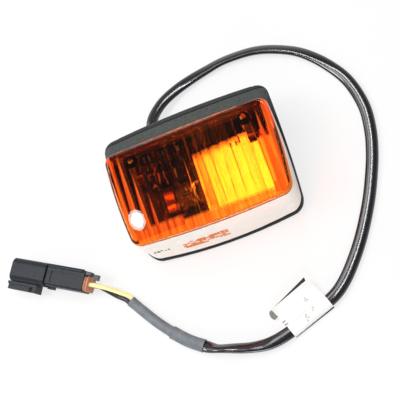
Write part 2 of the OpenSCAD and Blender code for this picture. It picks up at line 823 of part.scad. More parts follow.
// Slide clip along the shroud's lower side, with its release slot
module connector_latch() {
    latch_x = plug_l + 4.4;
    latch_l = 18.6;
    latch_y = shroud_w / 2 + fit;
    color("#2c3033")
    at_plug()
        difference() {
            union() {
                translate([latch_x, latch_y, -3.4])
                    cube([latch_l, 1.6, 7]);
                translate([latch_x, latch_y + 1.4, -2.2])
                    cube([latch_l, 3, 4.6]);
                translate([latch_x, latch_y + 1.4, -3.4])
                    cube([2.4, 3.2, 7]);
            }
            translate([latch_x + 2.6, latch_y + 1.9, -4])
                cube([2.6, 3, 9]);
        }
}

// Locking wedge pushed in from behind, its tab standing out beside the seal
module secondary_lock() {
    color("#4a4e50")
    at_plug() {
        translate([-3.4, lock_y, lock_z])
            cube([lock_l + 3.4, lock_w, lock_h]);
        translate([-3.4, lock_y - 0.4, lock_z - 0.6])
            cube([3.4 - fit, lock_w + 0.4, lock_h + 1.2]);
        translate([-7.6, lock_y + 0.4, lock_z])
            cube([4.4, 1, 2]);
        translate([-7.6, lock_y + 0.4, lock_z])
            cube([3, 3, 2]);
    }
}

// Ribbed orange seal round both wires
module wire_seal() {
    color("#c85a28")
    at_plug()
        difference() {
            translate([0, pin_y, 0]) {
                bar_x(seal_w - 2, 9, 1.5, -seal_out, 6.8);
                for (x = [-seal_out, -seal_lip])
                    bar_x(seal_w - 1, 10.2, 2, x, x + seal_lip);
            }
            at_pins()
                translate([-seal_out - 1, 0, 0])
                    rotate([0, 90, 0])
                        cylinder(r = wire_r + 0.05, h = 20);
        }
}

// Orange seal at the bottom of the shroud
module face_seal() {
    bore_w = shroud_w - 2 * shroud_t - 2 * fit;
    bore_h = 2 * (plug_z - shroud_t - fit);
    color("#c85a28")
    at_plug()
        difference() {
            bar_x(bore_w, bore_h, 2.5, plug_l + 3 + fit, plug_l + 5.4);
            bar_x(bore_w - 2.6, bore_h - 2.6, 1.4, plug_l + 2, plug_l + 7);
        }
}

// Two terminals: a crimp on each wire's end and a round pin in the shroud
module terminal_pins() {
    color("#b9bcc0")
    at_plug()
        at_pins()
            rotate([0, 90, 0]) {
                translate([0, 0, -seal_out])
                    cylinder(r = wire_r - 0.1, h = seal_out + 8);
                translate([0, 0, 8])
                    cylinder(r = 1.4, h = plug_l - 6);
                translate([0, 0, plug_l + 1.9])
                    cylinder(r = 0.8, h = 11);
            }
}

// White film wrapped round the lead and stuck to itself as a flag
module cable_tag() {
    a = FLEX[25];
    b = FLEX[27];
    run = b - a;
    loop_w = flex_w + 2 * fit;
    loop_t = flex_t + 2 * fit;
    color("#e9e9e6")
    translate([a.x, a.y, a.z])
        rotate([0, 0, atan2(run.y, run.x)])
            translate([(norm(run) - tag_l) / 2, 0, 0])
                rotate([90, 0, 90]) {
                    linear_extrude(tag_l)
                        difference() {
                            union() {
                                square([loop_w - loop_t, loop_t + 2 * tag_t], center = true);
                                for (s = [-1, 1])
                                    translate([s * (loop_w - loop_t) / 2, 0])
                                        circle(loop_t / 2 + tag_t);
                                translate([-loop_w / 2 - tag_w, -tag_t])
                                    square([tag_w + tag_t, 2 * tag_t]);
                            }
                            square([loop_w - loop_t, loop_t], center = true);
                            for (s = [-1, 1])
                                translate([s * (loop_w - loop_t) / 2, 0])
                                    circle(loop_t / 2);
                        }
                }
}

housing();
lens();
lens_gasket();
reflector();
reflector_screws();
bulb_holder();
bulb_glass();
bulb_cap();
bulb_filament();
live_contact();
earth_contact();
lens_screws();
mount_inserts();
cable_clamp();
clamp_screws();
flex_tail();
live_lead();
earth_lead();
cable_grommet();
flex();
wide_sleeve();
narrow_sleeve();
yellow_wire();
black_wire();
connector_housing();
connector_latch();
secondary_lock();
wire_seal();
face_seal();
terminal_pins();
cable_tag();
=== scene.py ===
"""Side marker lamp: amber lens, black housing, flat twin lead, wrap-round tag and sealed connector."""
import logging
import math
from collections.abc import Callable
from dataclasses import dataclass, field
from enum import Enum

import bmesh
import bpy
from mathutils import Matrix, Vector


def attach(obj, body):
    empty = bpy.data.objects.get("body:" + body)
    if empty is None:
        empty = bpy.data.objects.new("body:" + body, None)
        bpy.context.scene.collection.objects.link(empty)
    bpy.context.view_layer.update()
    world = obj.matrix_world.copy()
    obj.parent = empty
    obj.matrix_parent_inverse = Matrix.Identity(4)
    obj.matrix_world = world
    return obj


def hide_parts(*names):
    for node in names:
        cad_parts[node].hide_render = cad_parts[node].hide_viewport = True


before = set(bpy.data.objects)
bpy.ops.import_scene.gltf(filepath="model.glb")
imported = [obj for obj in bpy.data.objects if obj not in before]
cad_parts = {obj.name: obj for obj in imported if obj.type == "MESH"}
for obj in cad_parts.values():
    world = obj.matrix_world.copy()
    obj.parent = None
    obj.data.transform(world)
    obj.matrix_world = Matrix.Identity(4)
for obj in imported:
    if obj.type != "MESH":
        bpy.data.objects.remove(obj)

log = logging.getLogger("side_marker_lamp")
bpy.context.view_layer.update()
MM = 0.001
# Points closer than this are one point, in metres
SAME_POINT = 2e-6
# Triangles closer than this to one plane become one face, in degrees
SAME_PLANE_DEG = 0.3
# Strips put on each rounded edge, and how much the larger faces rule the shading
EDGE_STEPS = 2
FLAT_WEIGHT = 90
Point = tuple[float, float, float]
Outline = list[tuple[float, float]]
Faces = list[list[int]]


def linear(code: str) -> tuple[float, float, float, float]:
    """Turn an sRGB hex colour into a linear one.

    Args:
        code: six hex digits, such as "2b2f31".

    Returns:
        Linear red, green and blue, and an alpha of 1.
    """
    parts = [int(code[i:i + 2], 16) / 255 for i in (0, 2, 4)]
    red, green, blue = (c / 12.92 if c <= 0.04045 else ((c + 0.055) / 1.055) ** 2.4 for c in parts)
    return red, green, blue, 1.0


def add_node(tree: bpy.types.NodeTree, kind: str, settings: dict[str | int, object] | None = None,
             links: dict[str | int, bpy.types.NodeSocket] | None = None) -> bpy.types.Node:
    """Add a node, set its properties or sockets, and link its inputs.

    Args:
        tree: the node tree to add to.
        kind: the node's type name.
        settings: property or input names, or input numbers, and their values.
        links: input names or numbers and the sockets that feed them.

    Returns:
        The new node.
    """
    node = tree.nodes.new(kind)
    for name, value in (settings or {}).items():
        if isinstance(name, str) and hasattr(node, name):
            setattr(node, name, value)
        else:
            node.inputs[name].default_value = value
    for name, socket in (links or {}).items():
        tree.links.new(socket, node.inputs[name])
    return node


@dataclass(frozen=True)
class Finish:
    """A surface finish: two tones in soft patches, with a grain in its gloss and bump.

    A real grain finer than about half a millimetre is drawn coarser, so that it shows in the render. The
    stretch says how tightly a pattern repeats along X, Y and Z, and the grain makes the gloss vary from
    gloss_dip under the roughness to gloss_rise over it. A detail is how many finer layers a pattern has.
    """

    name: str
    tone: str
    second_tone: str
    roughness: float
    grain_mm: float = 1.0
    grain_depth_mm: float = 0.02
    patch_mm: float = 14.0
    metallic: float = 0.0
    ior: float = 1.5
    coat: float = 0.0
    coat_roughness: float = 0.08
    specular: float = 0.5
    stretch: Point = (1.0, 1.0, 1.0)
    least_roughness: float = 0.02
    gloss_dip: float = 0.07
    gloss_rise: float = 0.09
    grain_detail: float = 3.0
    patch_detail: float = 4.0

    def start(self) -> tuple[bpy.types.Material, bpy.types.NodeTree, bpy.types.Node]:
        """Make an empty material with an output node.

        Returns:
            The material, its node tree and the output node.
        """
        material = bpy.data.materials.new(self.name)
        material.use_nodes = True
        tree = material.node_tree
        tree.nodes.clear()
        return material, tree, add_node(tree, "ShaderNodeOutputMaterial")

    def surface(self, tree: bpy.types.NodeTree) -> bpy.types.Node:
        """Add the Principled shader with its tone, roughness and grain patterns.

        Args:
            tree: the material's node tree.

        Returns:
            The Principled node.
        """
        place = add_node(tree, "ShaderNodeTexCoord")
        spread = add_node(tree, "ShaderNodeMapping", {"Scale": self.stretch},
                          {"Vector": place.outputs["Object"]})
        patch = add_node(tree, "ShaderNodeTexNoise",
                         {"Scale": 1 / (self.patch_mm * MM), "Detail": self.patch_detail},
                         {"Vector": spread.outputs[0]})
        grain = add_node(tree, "ShaderNodeTexNoise",
                         {"Scale": 1 / (self.grain_mm * MM), "Detail": self.grain_detail},
                         {"Vector": spread.outputs[0]})
        tone = add_node(tree, "ShaderNodeMix",
                        {"data_type": "RGBA", 6: linear(self.tone), 7: linear(self.second_tone)},
                        {0: patch.outputs[0]})
        gloss = add_node(tree, "ShaderNodeMapRange",
                         {"To Min": max(self.roughness - self.gloss_dip, self.least_roughness),
                          "To Max": min(self.roughness + self.gloss_rise, 1.0)},
                         {"Value": grain.outputs[0]})
        bump = add_node(tree, "ShaderNodeBump", {"Strength": 1.0, "Distance": self.grain_depth_mm * MM},
                        {"Height": grain.outputs[0]})
        return add_node(tree, "ShaderNodeBsdfPrincipled",
                        {"Metallic": self.metallic, "IOR": self.ior, "Coat Weight": self.coat,
                         "Coat Roughness": self.coat_roughness, "Specular IOR Level": self.specular},
                        {"Base Color": tone.outputs[2], "Roughness": gloss.outputs[0],
                         "Normal": bump.outputs[0]})

    def build(self) -> bpy.types.Material:
        """Build the material.

        Returns:
            The finished material.
        """
        material, tree, out = self.start()
        tree.links.new(self.surface(tree).outputs[0], out.inputs["Surface"])
        return material


@dataclass(frozen=True)
class RimmedFinish(Finish):
    """A grained face with painted shade: a dark line near its upper edge and a darker, plainer strip past it.

    The shade line bows as the housing's upper side does, by bow_mm over half_w_mm.
    """

    # Painted shade: the dark line's tone, the darker strip's tones, and the line's place and width
    shade_line_tone: str = "020303"
    shaded_rim_tone: str = "202422"
    shaded_rim_second_tone: str = "3a3f3c"
    shade_line_y_mm: float = 28.7
    line_mm: float = 1.0
    bow_mm: float = 1.5
    half_w_mm: float = 44.8

    def surface(self, tree: bpy.types.NodeTree) -> bpy.types.Node:
        """Add the grained surface, then paint shade on the line and past it.

        Args:
            tree: the material's node tree.

        Returns:
            The Principled node.
        """
        shader = super().surface(tree)
        grained = shader.inputs["Base Color"].links[0].from_socket
        place = add_node(tree, "ShaderNodeTexCoord")
        axes = add_node(tree, "ShaderNodeSeparateXYZ", None, {0: place.outputs["Object"]}).outputs
        square = add_node(tree, "ShaderNodeMath", {"operation": "MULTIPLY"}, {0: axes["X"], 1: axes["X"]})
        level = add_node(tree, "ShaderNodeMath",
                         {"operation": "MULTIPLY_ADD", 1: self.bow_mm / (self.half_w_mm ** 2 * MM)},
                         {0: square.outputs[0], 2: axes["Y"]})

        def past(start_mm: float) -> bpy.types.NodeSocket:
            """Tell what lies past a bowed line, with a soft edge a third of the line wide.

            Args:
                start_mm: where the line crosses the middle of the housing.

            Returns:
                A socket that is 0 before the line and 1 past it.
            """
            return add_node(tree, "ShaderNodeMapRange",
                            {"From Min": start_mm * MM, "From Max": (start_mm + self.line_mm / 3) * MM},
                            {"Value": level.outputs[0]}).outputs[0]

        # Painted shade: the dark line
        dark = add_node(tree, "ShaderNodeMix", {"data_type": "RGBA", 7: linear(self.shade_line_tone)},
                        {0: past(self.shade_line_y_mm), 6: grained})
        patch = add_node(tree, "ShaderNodeTexNoise",
                         {"Scale": 1 / (self.patch_mm * MM), "Detail": self.patch_detail},
                         {"Vector": place.outputs["Object"]})
        # Painted shade: the darker, plainer strip past the line
        strip = add_node(tree, "ShaderNodeMix",
                         {"data_type": "RGBA", 6: linear(self.shaded_rim_tone), 7: linear(self.shaded_rim_second_tone)},
                         {0: patch.outputs[0]})
        whole = add_node(tree, "ShaderNodeMix", {"data_type": "RGBA"},
                         {0: past(self.shade_line_y_mm + self.line_mm), 6: dark.outputs[2], 7: strip.outputs[2]})
        tree.links.new(whole.outputs[2], shader.inputs["Base Color"])
        return shader


@dataclass(frozen=True)
class ClearFinish(Finish):
    """A see-through moulding or blown glass, tinted by its colour, that lets lamps light what it covers.

    A lamp's light keeps the passed colour. Dust makes the patches hazy, and the sheen tints what the surface
    throws back.
    """

    passed: str = "ffffff"
    haze: float = 0.02
    haze_from: float = 0.45
    haze_to: float = 0.8
    ripple_detail: float = 2.0
    patch_detail: float = 5.0
    sheen: str = "ffffff"

    def seen(self, tree: bpy.types.NodeTree) -> bpy.types.NodeSocket:
        """Add the shader that the eye sees: a transmitting Principled one.

        Args:
            tree: the material's node tree.

        Returns:
            Its shader socket.
        """
        place = add_node(tree, "ShaderNodeTexCoord")
        spread = add_node(tree, "ShaderNodeMapping", {"Scale": self.stretch},
                          {"Vector": place.outputs["Object"]})
        ripple = add_node(tree, "ShaderNodeTexNoise",
                          {"Scale": 1 / (self.grain_mm * MM), "Detail": self.ripple_detail},
                          {"Vector": spread.outputs[0]})
        patch = add_node(tree, "ShaderNodeTexNoise",
                         {"Scale": 1 / (self.patch_mm * MM), "Detail": self.patch_detail},
                         {"Vector": place.outputs["Object"]})
        tone = add_node(tree, "ShaderNodeMix",
                        {"data_type": "RGBA", 6: linear(self.tone), 7: linear(self.second_tone)},
                        {0: patch.outputs[0]})
        dust = add_node(tree, "ShaderNodeMapRange",
                        {"From Min": self.haze_from, "From Max": self.haze_to, "To Min": self.roughness,
                         "To Max": self.roughness + self.haze},
                        {"Value": patch.outputs[0]})
        bump = add_node(tree, "ShaderNodeBump", {"Strength": 1.0, "Distance": self.grain_depth_mm * MM},
                        {"Height": ripple.outputs[0]})
        glass = add_node(tree, "ShaderNodeBsdfPrincipled",
                         {"IOR": self.ior, "Transmission Weight": 1.0, "Specular Tint": linear(self.sheen)},
                         {"Base Color": tone.outputs[2], "Roughness": dust.outputs[0],
                          "Normal": bump.outputs[0]})
        return glass.outputs[0]

    def build(self) -> bpy.types.Material:
        """Build the material: what the eye sees, and a clear shader for rays from lamps.

        Returns:
            The finished material.
        """
        material, tree, out = self.start()
        clear = add_node(tree, "ShaderNodeBsdfTransparent", {"Color": linear(self.passed)})
        rays = add_node(tree, "ShaderNodeLightPath")
        both = add_node(tree, "ShaderNodeMixShader", None,
                        {0: rays.outputs["Is Shadow Ray"], 1: self.seen(tree), 2: clear.outputs[0]})
        tree.links.new(both.outputs[0], out.inputs["Surface"])
        return material


@dataclass(frozen=True)
class SatinGlareFinish(ClearFinish):
    """A see-through moulding with a satin face and painted glare: it goes pale when it is seen at a low
    angle.

    The painted glare is on its outer side, the glow on its inner side, lit through.
    """

    glare_tone: str = "ffffff"
    glow: str = "ff9a3c"
    glare_from: float = 0.34
    glare_to: float = 0.6
    most: float = 0.92

    def seen(self, tree: bpy.types.NodeTree) -> bpy.types.NodeSocket:
        """Add the clear shader and a matt pale one, painted glare, that takes over at low angles.

        Args:
            tree: the material's node tree.

        Returns:
            The mixed shader's socket.
        """
        clear = super().seen(tree)
        angle = add_node(tree, "ShaderNodeLayerWeight", {"Blend": 0.5})
        share = add_node(tree, "ShaderNodeMapRange",
                         {"From Min": self.glare_from, "From Max": self.glare_to, "To Max": self.most},
                         {"Value": angle.outputs["Facing"]})
        # Painted glare: the pale matt shader that shows at low angles
        pale = add_node(tree, "ShaderNodeBsdfDiffuse", {"Color": linear(self.glare_tone)})
        lit_through = add_node(tree, "ShaderNodeBsdfTranslucent", {"Color": linear(self.glow)})
        side = add_node(tree, "ShaderNodeNewGeometry")
        satin = add_node(tree, "ShaderNodeMixShader", None,
                         {0: side.outputs["Backfacing"], 1: pale.outputs[0], 2: lit_through.outputs[0]})
        mixed = add_node(tree, "ShaderNodeMixShader", None,
                         {0: share.outputs[0], 1: clear, 2: satin.outputs[0]})
        return mixed.outputs[0]


@dataclass(frozen=True)
class BandedFinish(ClearFinish):
    """Fluted amber moulding whose flutes are frosted on one flank.

    The frosted share of each flute grows towards the lens's two ends and its lower edge, and past foot_mm
    the whole width is frosted. Places are on the lens, along X for left, right and phase, and along Y for
    lower and foot. The wave says how far a flute's share swings from flank to flank.
    """

    frost: str = "c04e28"
    second_frost: str = "f8a264"
    pitch_mm: float = 5.0
    phase_mm: float = 1.2
    lower_mm: float = -14.0
    lower_reach_mm: float = 30.0
    left_mm: float = -33.0
    left_reach_mm: float = 12.0
    right_mm: float = 36.5
    right_reach_mm: float = 4.0
    foot_mm: float = -22.0
    foot_reach_mm: float = 2.0
    wave: float = 0.75
    band_edge: float = 0.3
    most: float = 0.85
    streak_mm: float = 1.8
    streak_detail: float = 2.0
    streak_from: float = 0.35
    streak_to: float = 0.65

    def seen(self, tree: bpy.types.NodeTree) -> bpy.types.NodeSocket:
        """Add the clear shader and the frosted bands.

        Args:
            tree: the material's node tree.

        Returns:
            The mixed shader's socket.
        """
        clear = super().seen(tree)
        place = add_node(tree, "ShaderNodeTexCoord").outputs["Object"]
        share = self.frosted(tree, place)
        spread = add_node(tree, "ShaderNodeMapping", {"Scale": self.stretch}, {"Vector": place})
        streak = add_node(tree, "ShaderNodeTexNoise",
                          {"Scale": 1 / (self.streak_mm * MM), "Detail": self.streak_detail},
                          {"Vector": spread.outputs[0]})
        level = add_node(tree, "ShaderNodeMapRange",
                         {"From Min": self.streak_from, "From Max": self.streak_to},
                         {"Value": streak.outputs[0]})
        shade = add_node(tree, "ShaderNodeMix",
                         {"data_type": "RGBA", 6: linear(self.frost), 7: linear(self.second_frost)},
                         {0: level.outputs[0]})
        matt = add_node(tree, "ShaderNodeBsdfDiffuse", None, {"Color": shade.outputs[2]})
        mixed = add_node(tree, "ShaderNodeMixShader", None, {0: share, 1: clear, 2: matt.outputs[0]})
        return mixed.outputs[0]

    def frosted(self, tree: bpy.types.NodeTree, place: bpy.types.NodeSocket) -> bpy.types.NodeSocket:
        """Work out how far each place is frosted.

        Args:
            tree: the material's node tree.
            place: the place on the object.

        Returns:
            A socket with the frosted share, from 0 to most.
        """
        axes = add_node(tree, "ShaderNodeSeparateXYZ", None, {0: place}).outputs

        def line(axis: str, start_mm: float, reach_mm: float) -> bpy.types.NodeSocket:
            """Measure along an axis in steps of a reach.

            Args:
                axis: X, Y or Z.
                start_mm: the place that gives 0.
                reach_mm: how far on from there it gives 1.

            Returns:
                A socket with the measure, which goes on past 0 and 1.
            """
            end_mm = start_mm + reach_mm
            return add_node(tree, "ShaderNodeMapRange",
                            {"clamp": False, "From Min": start_mm * MM, "From Max": end_mm * MM},
                            {"Value": axes[axis]}).outputs[0]

        turns = add_node(tree, "ShaderNodeMath", {"operation": "MULTIPLY", 1: 2 * math.pi},
                         {0: line("X", self.phase_mm, self.pitch_mm)})
        swing = add_node(tree, "ShaderNodeMath", {"operation": "SINE"}, {0: turns.outputs[0]})
        low = line("Y", self.lower_mm, -self.lower_reach_mm)
        ends = add_node(tree, "ShaderNodeMath", {"operation": "MAXIMUM"},
                        {0: line("X", self.left_mm, -self.left_reach_mm),
                         1: line("X", self.right_mm, self.right_reach_mm)})
        score = add_node(tree, "ShaderNodeMath", {"operation": "ADD"}, {0: low, 1: ends.outputs[0]})
        total = add_node(tree, "ShaderNodeMath", {"operation": "MULTIPLY_ADD", 1: self.wave},
                         {0: swing.outputs[0], 2: score.outputs[0]})
        stripes = add_node(tree, "ShaderNodeMapRange",
                           {"From Min": 0.0, "From Max": self.band_edge, "To Max": self.most},
                           {"Value": total.outputs[0]})
        foot = add_node(tree, "ShaderNodeMapRange", {"To Max": self.most},
                        {"Value": line("Y", self.foot_mm, -self.foot_reach_mm)})
        return add_node(tree, "ShaderNodeMath", {"operation": "MAXIMUM"},
                        {0: stripes.outputs[0], 1: foot.outputs[0]}).outputs[0]


# Amber acrylic: its two body tones, what a lamp's light keeps past one wall, and its refractive index
AMBER_TONES = ("ffab4c", "ffa342")
AMBER_PASSED = "ffd0a8"
PMMA_IOR = 1.49
# The flutes run from the lower edge to the upper one, so what is drawn on them is stretched that way
ALONG_FLUTES = (1.0, 0.004, 0.004)
# Light thrown back inside a flute crosses the amber again, and comes out dark red
INNER_SHEEN = "a05028"


class Stock(Enum):
    """The finishes of this lamp, each named for the real material."""

    # ABS moulded against a smooth tool, on the rear tier: a dull near-black with a green cast
    MOULDED_ABS = Finish("moulded_black_abs", "0f1110", "151716", 0.55, grain_mm=1.2, grain_depth_mm=0.02,
                         specular=0.25)
    # The same ABS against a spark-eroded tool, on the front tier: its grain's glints are painted in as pale
    # flecks that grey it
    # A dark line and a darker strip near its upper edge are painted shade
    GRAINED_ABS = RimmedFinish("spark_grained_abs_painted_sheen_and_shade", "080a09", "5e6460", 0.6, grain_mm=1.0,
                               grain_depth_mm=0.14, patch_mm=1.1, specular=0.3)
    # Extruded PVC jacket: near-black with a blue cast and one sharp long highlight
    GLOSSY_PVC = Finish("glossy_black_pvc", "14151b", "1d1e26", 0.15, grain_mm=3.5, grain_depth_mm=0.02,
                        coat=0.3, specular=1.0)
    # Cross-linked polyolefin, shrunk on with heat: cool grey, slightly wrinkled
    SHRUNK_POLYOLEFIN = Finish("shrunk_grey_polyolefin", "545a60", "878d92", 0.45, grain_mm=2.0,
                               grain_depth_mm=0.16, patch_mm=4.0)
    # Extruded PVC insulation in pale yellow: even, with a soft gloss
    YELLOW_PVC = Finish("yellow_wire_pvc", "fff09a", "fff7c0", 0.35, grain_mm=2.0, coat=0.1)
    # The same insulation in black: a little greyer than the lead's jacket
    BLACK_PVC = Finish("black_wire_pvc", "202326", "2c3033", 0.32, grain_mm=2.0, coat=0.1)
    # Glass-filled nylon, moulded: charcoal with a faint blue cast, mottled where fibres reach the skin
    MOULDED_NYLON = Finish("moulded_charcoal_nylon", "07090b", "2a313c", 0.42, grain_mm=0.7,
                           grain_depth_mm=0.03, patch_mm=1.6, specular=0.3)
    # The same nylon in mid grey, for the lock
    GREY_NYLON = Finish("moulded_grey_nylon", "3a4044", "50565a", 0.46, grain_mm=0.7)
    # Silicone rubber, moulded: dusty orange brown with no gloss
    ORANGE_SILICONE = Finish("orange_silicone_rubber", "a86446", "dc9c7c", 0.6, grain_mm=1.0, patch_mm=2.0)
    # EPDM rubber, moulded: flat black
    BLACK_RUBBER = Finish("black_epdm_rubber", "191b1c", "232526", 0.6, grain_mm=0.8)
    # Steel screws with bright zinc plating: pale, faintly blue
    ZINC_STEEL = Finish("zinc_plated_steel", "b9bcbd", "d0d2d2", 0.3, metallic=1.0, grain_mm=1.2,
                        grain_depth_mm=0.01)
    # Turned brass: yellow, with fine rings round the axis
    TURNED_BRASS = Finish("turned_brass", "c79d4f", "dcb868", 0.28, metallic=1.0, grain_mm=0.8,
                          grain_depth_mm=0.01, stretch=(1.0, 1.0, 6.0))
    # Pressed copper with a tin plating: soft silver
    TINNED_COPPER = Finish("tinned_copper", "b4b6b8", "cccdce", 0.3, metallic=1.0, grain_mm=0.8,
                           grain_depth_mm=0.01)
    # Plastic coated with aluminium in a vacuum: a mirror with the moulding's slow waves in it
    METALLISED = Finish("vacuum_metallised_plastic", "eeeff0", "f7f8f8", 0.2, metallic=1.0, grain_mm=3.2,
                        grain_depth_mm=0.35, stretch=(1.0, 0.05, 0.05))
    # Drawn tungsten wire: mid grey
    TUNGSTEN = Finish("tungsten_wire", "6f6f70", "8a8a8b", 0.35, metallic=1.0, grain_mm=0.5,
                      grain_depth_mm=0.005)
    # Coated label film: matt white, hardly patterned
    WHITE_FILM = Finish("white_label_film", "eeeeec", "f6f6f5", 0.5, grain_mm=1.2, grain_depth_mm=0.01,
                        patch_mm=9.0)
    # Painted shade on the label film, where it lies in shadow: almost black
    FILM_SHADE = Finish("label_film_painted_shade", "1e1e20", "2c2c2e", 0.5, grain_mm=1.0, grain_depth_mm=0.02)
    # The film's creased end: small black and pale flecks of painted shade in its creases, drawn coarser
    FILM_CURL = Finish("curled_label_end_painted_shade", "000000", "b4b4aa", 0.5, grain_mm=1.0, grain_depth_mm=0.3,
                       patch_mm=0.8)
    # Thin thermal print: a faint grey
    GREY_PRINT = Finish("grey_label_print", "a0a0a2", "bcbcbe", 0.5, grain_mm=0.6, grain_depth_mm=0.0)
    # Acrylic, injection moulded and polished: clear amber with hardly a ripple
    AMBER_PMMA = ClearFinish("amber_pmma", *AMBER_TONES, 0.0, grain_mm=9.0, grain_depth_mm=0.01,
                             patch_mm=5.0, ior=PMMA_IOR, passed=AMBER_PASSED, haze=0.03)
    # Its fluted inside near the ends: flutes so deep that they throw the view sideways, in dark red folds
    DEEP_FLUTES = BandedFinish("deep_fluted_pmma", "cc5c1c", "b84c18", 0.0, grain_mm=5.0, grain_depth_mm=1.8,
                               patch_mm=5.0, ior=PMMA_IOR, passed=AMBER_PASSED, haze=0.03,
                               stretch=ALONG_FLUTES, ripple_detail=0.0, sheen=INNER_SHEEN)
    # Between them the flutes are shallow: the bright reflector shows through in soft upright bands
    SHALLOW_FLUTES = BandedFinish("shallow_fluted_pmma", *AMBER_TONES, 0.0, grain_mm=4.0, grain_depth_mm=0.8,
                                  patch_mm=5.0, ior=PMMA_IOR, passed=AMBER_PASSED, haze=0.03,
                                  stretch=ALONG_FLUTES, ripple_detail=1.0, sheen=INNER_SHEEN, wave=0.0,
                                  left_mm=-100.0, right_mm=100.0, foot_mm=-24.5, frost="e8762a",
                                  second_frost="ffc070")
    # The same acrylic on the lens's side walls, left satin, with painted glare: at a low angle it goes pale
    SATIN_GLARE_PMMA = SatinGlareFinish("satin_amber_pmma_painted_glare", *AMBER_TONES, 0.24, grain_mm=1.0, grain_depth_mm=0.02,
                             patch_mm=8.0, ior=PMMA_IOR, passed=AMBER_PASSED, haze=0.1, glare_tone="fffaf4")
    # Raised marks on that wall, which stay clear of its painted glare: they show the deeper amber
    RAISED_PMMA = Finish("raised_amber_pmma", "d86e08", "ec8a18", 0.45, grain_mm=0.8, grain_depth_mm=0.01)
    # Small raised marks: dark brown
    DARK_MARK = Finish("dark_brown_mark", "3a2c24", "54443a", 0.5, grain_mm=0.8, grain_depth_mm=0.01)
    # Blown soda-lime glass: clear, with slow waves
    CLEAR_GLASS = ClearFinish("clear_bulb_glass", "fdfefe", "f6f8f8", 0.0, grain_mm=8.0,
                              grain_depth_mm=0.01, ior=1.5, passed="f4f6f6", haze=0.02)


class FinishRack:
    """Builds each material once and hands it out."""

    def __init__(self) -> None:
        """Start with no material built."""
        self.made: dict[str, bpy.types.Material] = {}

    def get(self, stock: Stock) -> bpy.types.Material:
        """Give the material of a finish.

        Args:
            stock: the finish.

        Returns:
            Its material, built at the first call.
        """
        if stock.name not in self.made:
            self.made[stock.name] = stock.value.build()
        return self.made[stock.name]

    def add(self, obj: bpy.types.Object, stock: Stock) -> int:
        """Give an object one more finish.

        Args:
            obj: the object.
            stock: the finish.

        Returns:
            The number of the finish's slot on the object.
        """
        obj.data.materials.append(self.get(stock))
        return len(obj.data.materials) - 1

    def dress(self, obj: bpy.types.Object, stock: Stock) -> None:
        """Give an object one finish all over.

        Args:
            obj: the object.
            stock: the finish.
        """
        obj.data.materials.clear()
        self.add(obj, stock)


RACK = FinishRack()


def new_piece(name: str, points: list[Vector], faces: Faces, stock: Stock) -> bpy.types.Object:
    """Make a smooth mesh object from points and faces, and dress it.

    Args:
        name: the piece's name.
        points: its vertices in metres.
        faces: its faces as lists of vertex numbers.
        stock: its finish.

    Returns:
        The object, at the origin.
    """
    mesh = bpy.data.meshes.new(name)
    mesh.from_pydata([tuple(p) for p in points], [], faces)
    mesh.validate()
    work = bmesh.new()
    work.from_mesh(mesh)
    bmesh.ops.recalc_face_normals(work, faces=work.faces)
    work.to_mesh(mesh)
    work.free()
    for polygon in mesh.polygons:
        polygon.use_smooth = True
    obj = bpy.data.objects.new(name, mesh)
    bpy.context.scene.collection.objects.link(obj)
    RACK.dress(obj, stock)
    return obj


def soften(mesh: bpy.types.Mesh, sharp_deg: float) -> None:
    """Shade a mesh smooth, but keep the edges that are sharper than an angle.

    Args:
        mesh: the mesh.
        sharp_deg: the angle between two faces from which their edge stays sharp.
    """
    work = bmesh.new()
    work.from_mesh(mesh)
    for face in work.faces:
        face.smooth = True
    for edge in work.edges:
        edge.smooth = len(edge.link_faces) == 2 and edge.calc_face_angle(0.0) < math.radians(sharp_deg)
    work.to_mesh(mesh)
    work.free()


def merge(mesh: bpy.types.Mesh, flat: bool) -> None:
    """Merge the points of a mesh that lie on each other.

    Args:
        mesh: the mesh.
        flat: whether triangles in one plane also become one face.
    """
    work = bmesh.new()
    work.from_mesh(mesh)
    bmesh.ops.remove_doubles(work, verts=work.verts, dist=SAME_POINT)
    if flat:
        bmesh.ops.dissolve_limit(work, angle_limit=math.radians(SAME_PLANE_DEG), verts=work.verts,
                                 edges=work.edges)
    work.to_mesh(mesh)
    work.free()


def flatten(obj: bpy.types.Object) -> None:
    """Put an object's modifiers into its mesh.

    Args:
        obj: the object, which keeps no modifier.
    """
    graph = bpy.context.evaluated_depsgraph_get()
    mesh = bpy.data.meshes.new_from_object(obj.evaluated_get(graph))
    obj.modifiers.clear()
    obj.data = mesh


def sheet(name: str, points: list[Vector], faces: Faces, stock: Stock, thick_mm: float) -> bpy.types.Object:
    """Make a thin closed piece from the points and faces of an open sheet.

    Args:
        name: the piece's name.
        points: its vertices in metres.
        faces: its faces as lists of vertex numbers.
        stock: its finish.
        thick_mm: how thick it is.

    Returns:
        The piece.
    """
    piece = new_piece(name, points, faces, stock)
    wall = piece.modifiers.new("wall", "SOLIDIFY")
    wall.thickness = thick_mm * MM
    flatten(piece)
    return piece


